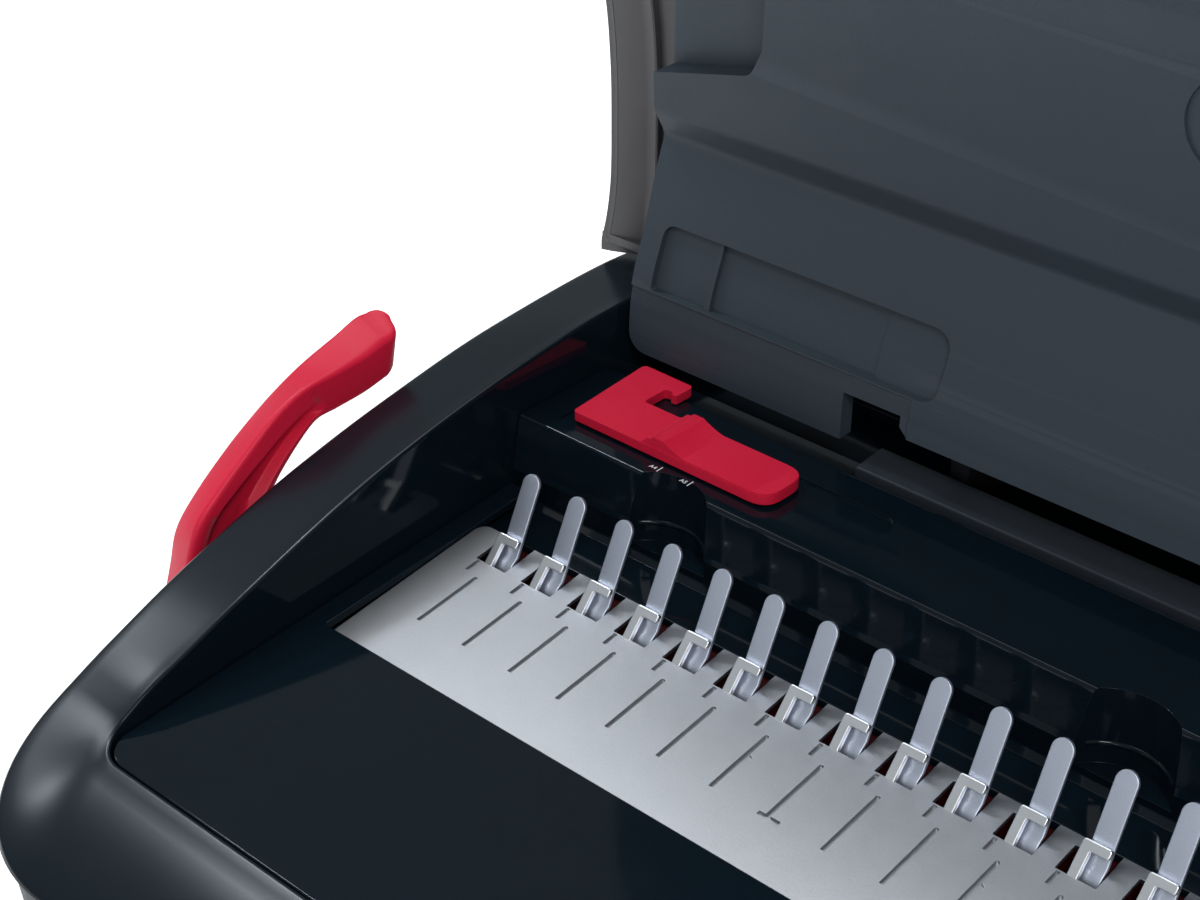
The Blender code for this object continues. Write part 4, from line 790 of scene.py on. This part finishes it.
def lid_flange():
    """Flange between the shell's lip and the liner, set back so the closed lid clears the casing's rim."""
    outer = []
    inner = []
    inner_half = 161.4
    inner_corner = 27.0
    foot = [-0.4, 1.0, 2.6, 4.4, 6.5, 9.0, 11.5, 14.5, 18.0, 22.0]
    for v in [*foot, *np.linspace(27, SHELL_TOP - SHELL_CORNER, 32)]:
        outer.append((min(shell_half(v) - 0.15, 188.9), v))
        inner.append((inner_half, max(v, 3.0)))
    centre = (SHELL_HALF_WIDTH - SHELL_CORNER, SHELL_TOP - SHELL_CORNER)
    inner_centre = (inner_half - inner_corner, 177.4 - inner_corner)
    for a in np.radians(np.linspace(0, 90, 25))[1:]:
        outer.append((centre[0] + (SHELL_CORNER - 0.15) * math.cos(a),
                      centre[1] + (SHELL_CORNER - 0.15) * math.sin(a)))
        inner.append((inner_centre[0] + inner_corner * math.cos(a),
                      inner_centre[1] + inner_corner * math.sin(a)))
    outer += [(-x, v) for x, v in reversed(outer)]
    inner += [(-x, v) for x, v in reversed(inner)]
    y, z = LID_DATUM
    rings = []
    for (ox, ov), (ix, iv) in zip(outer, inner):
        lip = lip_depth(ov) - 0.12
        inward = 5.2 if ov < SHELL_TOP - SHELL_CORNER else 3.4
        front = []
        for share, sunk in ((0.0, 0.0), (0.12, 0.05), (0.25, 0.18), (0.4, 0.36), (0.5, 0.5), (0.515, 0.46),
                            (0.535, 0.5), (0.54, 0.85), (0.75, 0.95), (1.0, 1.0)):
            front.append((ox + (ix - ox) * share, lip + inward * sunk, ov + (iv - ov) * share))
        back = [(x, d + 1.8, v) for x, d, v in reversed(front)]
        rings.append([(x, y + d, z + v) for x, d, v in front + back])
    bm = bmesh.new()
    add_loft(bm, rings)
    settle(solid(bm), "lid_flange", WARM_GREY, "lid", (), angle=50.0)


def face_prism(outline, front_d, back_d):
    """Outline in the lid's face, as (x, v) points, extruded between two depths."""
    y, z = LID_DATUM
    return prism([(z + v, x) for x, v in outline], y + front_d, y + back_d, "Y")


def panel_band(low_v, high_v, steps, front, back, low_x, high_x):
    """Solid that follows the panel's curved face, between two distances from it."""
    y, z = LID_DATUM
    face = [(y + panel_depth(v), z + v) for v in np.linspace(low_v, high_v, steps)]
    outline = [(a + front, b) for a, b in face] + [(a + back, b) for a, b in reversed(face)]
    return prism(outline, low_x, high_x)


def recess(panel):
    """Stepped recess low on the panel: a square zone, a deeper zone with a round end, and a rib between."""
    left_zone = panel_band(7.5, 23.8, 9, -9, 2.0, -154.0, -137.0)
    face = rounded([(-154.0, 7.5, 1.2), (-130.0, 7.5, 0), (-130.0, 23.8, 0), (-154.0, 23.8, 4.0)], 8)
    combine(left_zone, face_prism(face, -40, 10), "INTERSECT")
    combine(panel, left_zone)
    combine(panel, panel_band(7.5, 23.8, 9, -9, 2.7, -137.02, -88.0))
    end = [(-88.02, 7.5), *arc((-74.5, 12.0), 4.5, -90, 0, 8), *arc((-74.5, 19.3), 4.5, 0, 90, 8),
           (-88.02, 23.8)]
    round_end = face_prism(end, -30, -4.0)
    combine(round_end, panel_band(6.0, 26.0, 11, 2.0, 30, -95.0, -60.0))
    combine(panel, round_end)
    combine(panel, panel_band(7.0, 24.2, 11, 1.2, 4.0, -138.0, -136.4), "UNION")


def lid_panel():
    """Liner inside the lid: a curved foot, a valley, a raised field, and what is sunk into them."""
    y, z = LID_DATUM
    front = [(panel_depth(v), v) for v in np.linspace(-10, 41.6, 30)]
    front += [(-4.9, 42.8), (-4.9, 43.8), (-5.4, 45.0), (-7.9, 49.4), (-8.5, 50.4), (-8.8, 51.6)]
    front += [(plateau_depth(v), v) for v in np.linspace(100.0, 176, 20)]
    back = [(d + 5.0, v) for d, v in reversed(front)]
    panel = prism([(y + d, z + v) for d, v in front + back], -160.0, 160.0)
    combine(panel, face_prism([(-159.98, 54), (-118, 54), (-118, 122), (-159.98, 122)], -7.0, 1.6), "UNION")
    lower = [(-94.5, -20), (170, -20), (170, -2.5), (-76.5, -2.5), (-78.5, -0.5), (-78.5, 2.2), (-94.5, 2.2)]
    combine(panel, face_prism(lower, -30, 5))
    combine(panel, panel_band(-12.0, 7.2, 9, -9, 0.7, -170.0, -76.0))
    recess(panel)
    pocket = rounded([(-166, 58.6, 0), (-159, 60.6, 0), (-131.0, 67.2, 4.0), (-127.6, 74.0, 4.0),
                      (-125.6, 112, 3.0), (-166, 112, 0)], 6)
    combine(panel, face_prism(pocket, -30, -1.8))
    dish = arc((-12.7, 88.8), 10.6, 0, 360, 72)[:-1]
    combine(panel, face_prism(dish, -30, plateau_depth(88.8) + 0.9))
    for side, v, spin, radius in ((-1, 176, 1, 26.0), (-1, -10, -1, 5.0), (1, 176, 1, 26.0)):
        x0 = side * 161.0
        v0 = v + spin
        centre = (x0 - side * (radius + 1), v0 - spin * (radius + 1))
        quarter = [(centre[0] + side * radius * math.sin(t), centre[1] + spin * radius * math.cos(t))
                   for t in np.linspace(0, math.pi / 2, 14)]
        tip = [(x0 + side * 4, quarter[-1][1]), (x0 + side * 4, v0 + spin * 4),
               (quarter[0][0], v0 + spin * 4)]
        combine(panel, face_prism(quarter + tip, -60, 20))
    settle(panel, "lid_liner", SLATE, "lid", ("lid_inner_panel",), edge=0.45, segments=3, angle=30.0)
    even = panel.modifiers.new("even_shading", "WEIGHTED_NORMAL")
    even.keep_sharp = True


# ---- edge guide ---------------------------------------------------------------------------------------
def guide():
    """Red paper guide: a flat L with a raised pad, a ridge across it and a foot that hooks on its rail."""
    low = SHELF_Z + 0.35
    high = SHELF_Z + 2.7
    outline = rounded([
        (-150.2, 36.0, 1.4), (-91.1, 36.0, 5.6), (-91.1, 50.7, 5.6), (-140.6, 50.7, 1.2), (-140.6, 58.6, 0.8),
        (-138.2, 58.6, 0.6), (-138.0, 57.6, 0.0), (-136.5, 57.6, 0.6), (-136.4, 64.0, 1.4),
        (-152.3, 64.2, 1.6),
    ], 6)
    body = prism(outline, low, high, "Z")
    pad = rounded([(-127.0, 36.1, 0.0), (-91.2, 36.1, 5.5), (-91.2, 50.6, 5.5), (-127.0, 50.6, 0.0)], 6)
    combine(body, prism(pad, high - 0.8, high + 0.45, "Z"), "UNION")
    ridge = []
    for x in np.linspace(-129.0, -110.5, 60):
        rise = 1.9 * ease((x + 129.0) / 2.4) + 0.9 * ease((x + 126.2) / 1.6)
        rise *= 1.0 if x < -122.0 else max(0.0, 1.0 - (x + 122.0) / 11.0) ** 2.2
        rise = max(rise, 0.3)
        ridge.append((x, high - 0.02 + rise))
    ridge += [(-110.5, high - 1.2), (-129.0, high - 1.2)]
    combine(body, prism([(z, x) for x, z in ridge], 36.12, 50.6, "Y"), "UNION")
    combine(body, prism(rounded([(-150.5, 62.0, 0), (-141.5, 62.0, 0), (-141.5, 64.1, 0), (-150.5, 64.1, 0)]),
                        SHELF_Z - 7.0, low + 0.5, "Z"), "UNION")
    settle(body, "paper_edge_guide", RED, "guide", ("edge_guide",), edge=0.55, segments=4, angle=30.0)


def size_marks():
    """Tick lines and the generic sheet-size letters beside the guide."""
    for text, x in (("A4", -120.4), ("A5", -111.2)):
        curve = bpy.data.curves.new("size_" + text, "FONT")
        curve.body = text
        curve.size = 1.7
        curve.extrude = 0.02
        curve.align_x = "RIGHT"
        carrier = bpy.data.objects.new("size_" + text, curve)
        bpy.context.scene.collection.objects.link(carrier)
        bpy.context.view_layer.update()
        mesh = bpy.data.meshes.new_from_object(carrier.evaluated_get(bpy.context.evaluated_depsgraph_get()))
        bpy.data.objects.remove(carrier, do_unlink=True)
        mesh.transform(Matrix.Translation((x - 0.8, 32.5, SHELF_Z + 0.02)))
        bm = bmesh.new()
        bm.from_mesh(mesh)
        tick = [(x - 0.11, 32.1), (x + 0.11, 32.1), (x + 0.11, 34.4), (x - 0.11, 34.4)]
        add_prism(bm, tick, SHELF_Z - 0.02, SHELF_Z + 0.04, "Z")
        settle(solid(bm), "size_mark_" + text, WHITE_INK, "base")


# ---- small parts --------------------------------------------------------------------------------------
def coil_spring():
    """Torsion spring round the shaft, with a straight leg at each end."""
    start_x = -136.0
    radius = 6.4
    turns = 4
    rise = 1.9
    steps = 36
    leg = (SHAFT[0] - 22.0, SHAFT[1] + radius)
    path = [(start_x, *leg)]
    for i in range(turns * steps + 1):
        angle = math.pi / 2 + 2 * math.pi * i / steps
        path.append((start_x - rise * i / steps, SHAFT[0] + radius * math.cos(angle),
                     SHAFT[1] + radius * math.sin(angle)))
    path.append((start_x - rise * turns, *leg))
    bm = bmesh.new()
    add_tube(bm, path, 0.7, 12)
    settle(solid(bm), "coil_spring", GROUND_STEEL, "base", ("return_spring",), angle=60.0)


rim_casing()
tub_casing()
deck()
wall_and_shelf()
rear_covers()
comb_plate()
comb_hooks()
blades()
lever()
lid_shell()
lid_flange()
lid_panel()
guide()
size_marks()
coil_spring()
REFINED = {
    "chip_drawer": 0.5, "lid_well": 0.4, "blade_holder": 0.5, "opener_carriage": 0.4,
    "side_frame_left": 0.2, "side_frame_right": 0.2, "hinge_bracket_left": 0.4, "hinge_bracket_right": 0.4,
    "lid_hinge_arm_left": 0.4, "lid_hinge_arm_right": 0.4, "guide_rail": 0.3,
    "opener_rack_left": 0.1, "opener_rack_right": 0.1, "punch_rack_left": 0.1, "punch_rack_right": 0.1,
}
for node, edge in REFINED.items():
    # The blade holder takes the darkened red, which is painted shade for where it sits under the plate
    look = PAINTED_SHADE_RED if node == "blade_holder" else nodes[node].data.materials[0]
    refine(node, look, edge)


# ---- floor, light and camera --------------------------------------------------------------------------
def floor():
    bm = bmesh.new()
    bmesh.ops.create_grid(bm, x_segments=1, y_segments=1, size=6.0)
    mesh = bpy.data.meshes.new("floor")
    bm.to_mesh(mesh)
    bm.free()
    ground = bpy.data.objects.new("floor", mesh)
    bpy.context.scene.collection.objects.link(ground)
    look = surface("pale_floor", (0.93, 0.935, 0.94), 0.9, specular=0.1, tint=0.004, patch=2.0, grain=300.0,
                   grain_depth=0.0)
    shader = look.node_tree.nodes["Principled BSDF"]
    shader.inputs["Emission Color"].default_value = (1.0, 1.0, 1.0, 1.0)
    shader.inputs["Emission Strength"].default_value = 0.62
    mesh.materials.append(look)


def softbox(name, spot, aim, size, power, tint=(1.0, 1.0, 1.0)):
    light = bpy.data.lights.new(name, "AREA")
    light.shape = "RECTANGLE"
    light.size = size[0]
    light.size_y = size[1]
    light.energy = power
    light.color = tint
    holder = bpy.data.objects.new(name, light)
    holder.location = spot
    holder.rotation_mode = "QUATERNION"
    holder.rotation_quaternion = (Vector(aim) - Vector(spot)).to_track_quat("-Z", "Y")
    bpy.context.scene.collection.objects.link(holder)


def studio():
    """Even pale surroundings, two small cool lights for the rim's glow, and three large soft ones."""
    cool = (0.84, 0.92, 1.0)
    world = bpy.data.worlds.new("studio")
    bpy.context.scene.world = world
    world.use_nodes = True
    back = world.node_tree.nodes["Background"]
    back.inputs["Color"].default_value = (0.88, 0.95, 1.0, 1.0)
    back.inputs["Strength"].default_value = 0.33
    softbox("corner_softbox", (-1.394, -0.155, 0.915), (-0.16, -0.09, 0.065), (0.15, 0.18), 1.3, cool)
    softbox("rim_softbox", (-1.05, 0.047, 1.36), (-0.12, -0.10, 0.066), (0.14, 0.22), 5.0, cool)
    softbox("top_softbox", (-0.42, 0.35, 1.5), (0.0, -0.02, 0.08), (1.1, 0.9), 10.0)
    softbox("key_softbox", (0.75, -0.75, 1.3), (0.0, 0.0, 0.1), (0.42, 0.42), 9.0)
    softbox("front_softbox", (0.9, -1.5, 0.8), (0.0, 0.0, 0.1), (0.8, 0.6), 4.0)


def camera():
    """The photo's view, solved from the row of blades."""
    lens = bpy.data.cameras.new("camera")
    lens.lens = 67.73
    lens.sensor_width = 36.0
    lens.clip_start = 0.01
    holder = bpy.data.objects.new("camera", lens)
    forward = Vector((-0.57593, 0.63048, -0.52039)).normalized()
    side = forward.cross(Vector((0, 0, 1))).normalized()
    up = side.cross(forward)
    turn = Matrix((side, up, -forward)).transposed()
    holder.rotation_mode = "QUATERNION"
    holder.rotation_quaternion = turn.to_quaternion()
    holder.location = (0.16691 + ROW_SHIFT_X * MM, -0.30160, 0.36617)
    bpy.context.scene.collection.objects.link(holder)
    bpy.context.scene.camera = holder
    bpy.context.scene.view_settings.view_transform = "Standard"


floor()
studio()
camera()
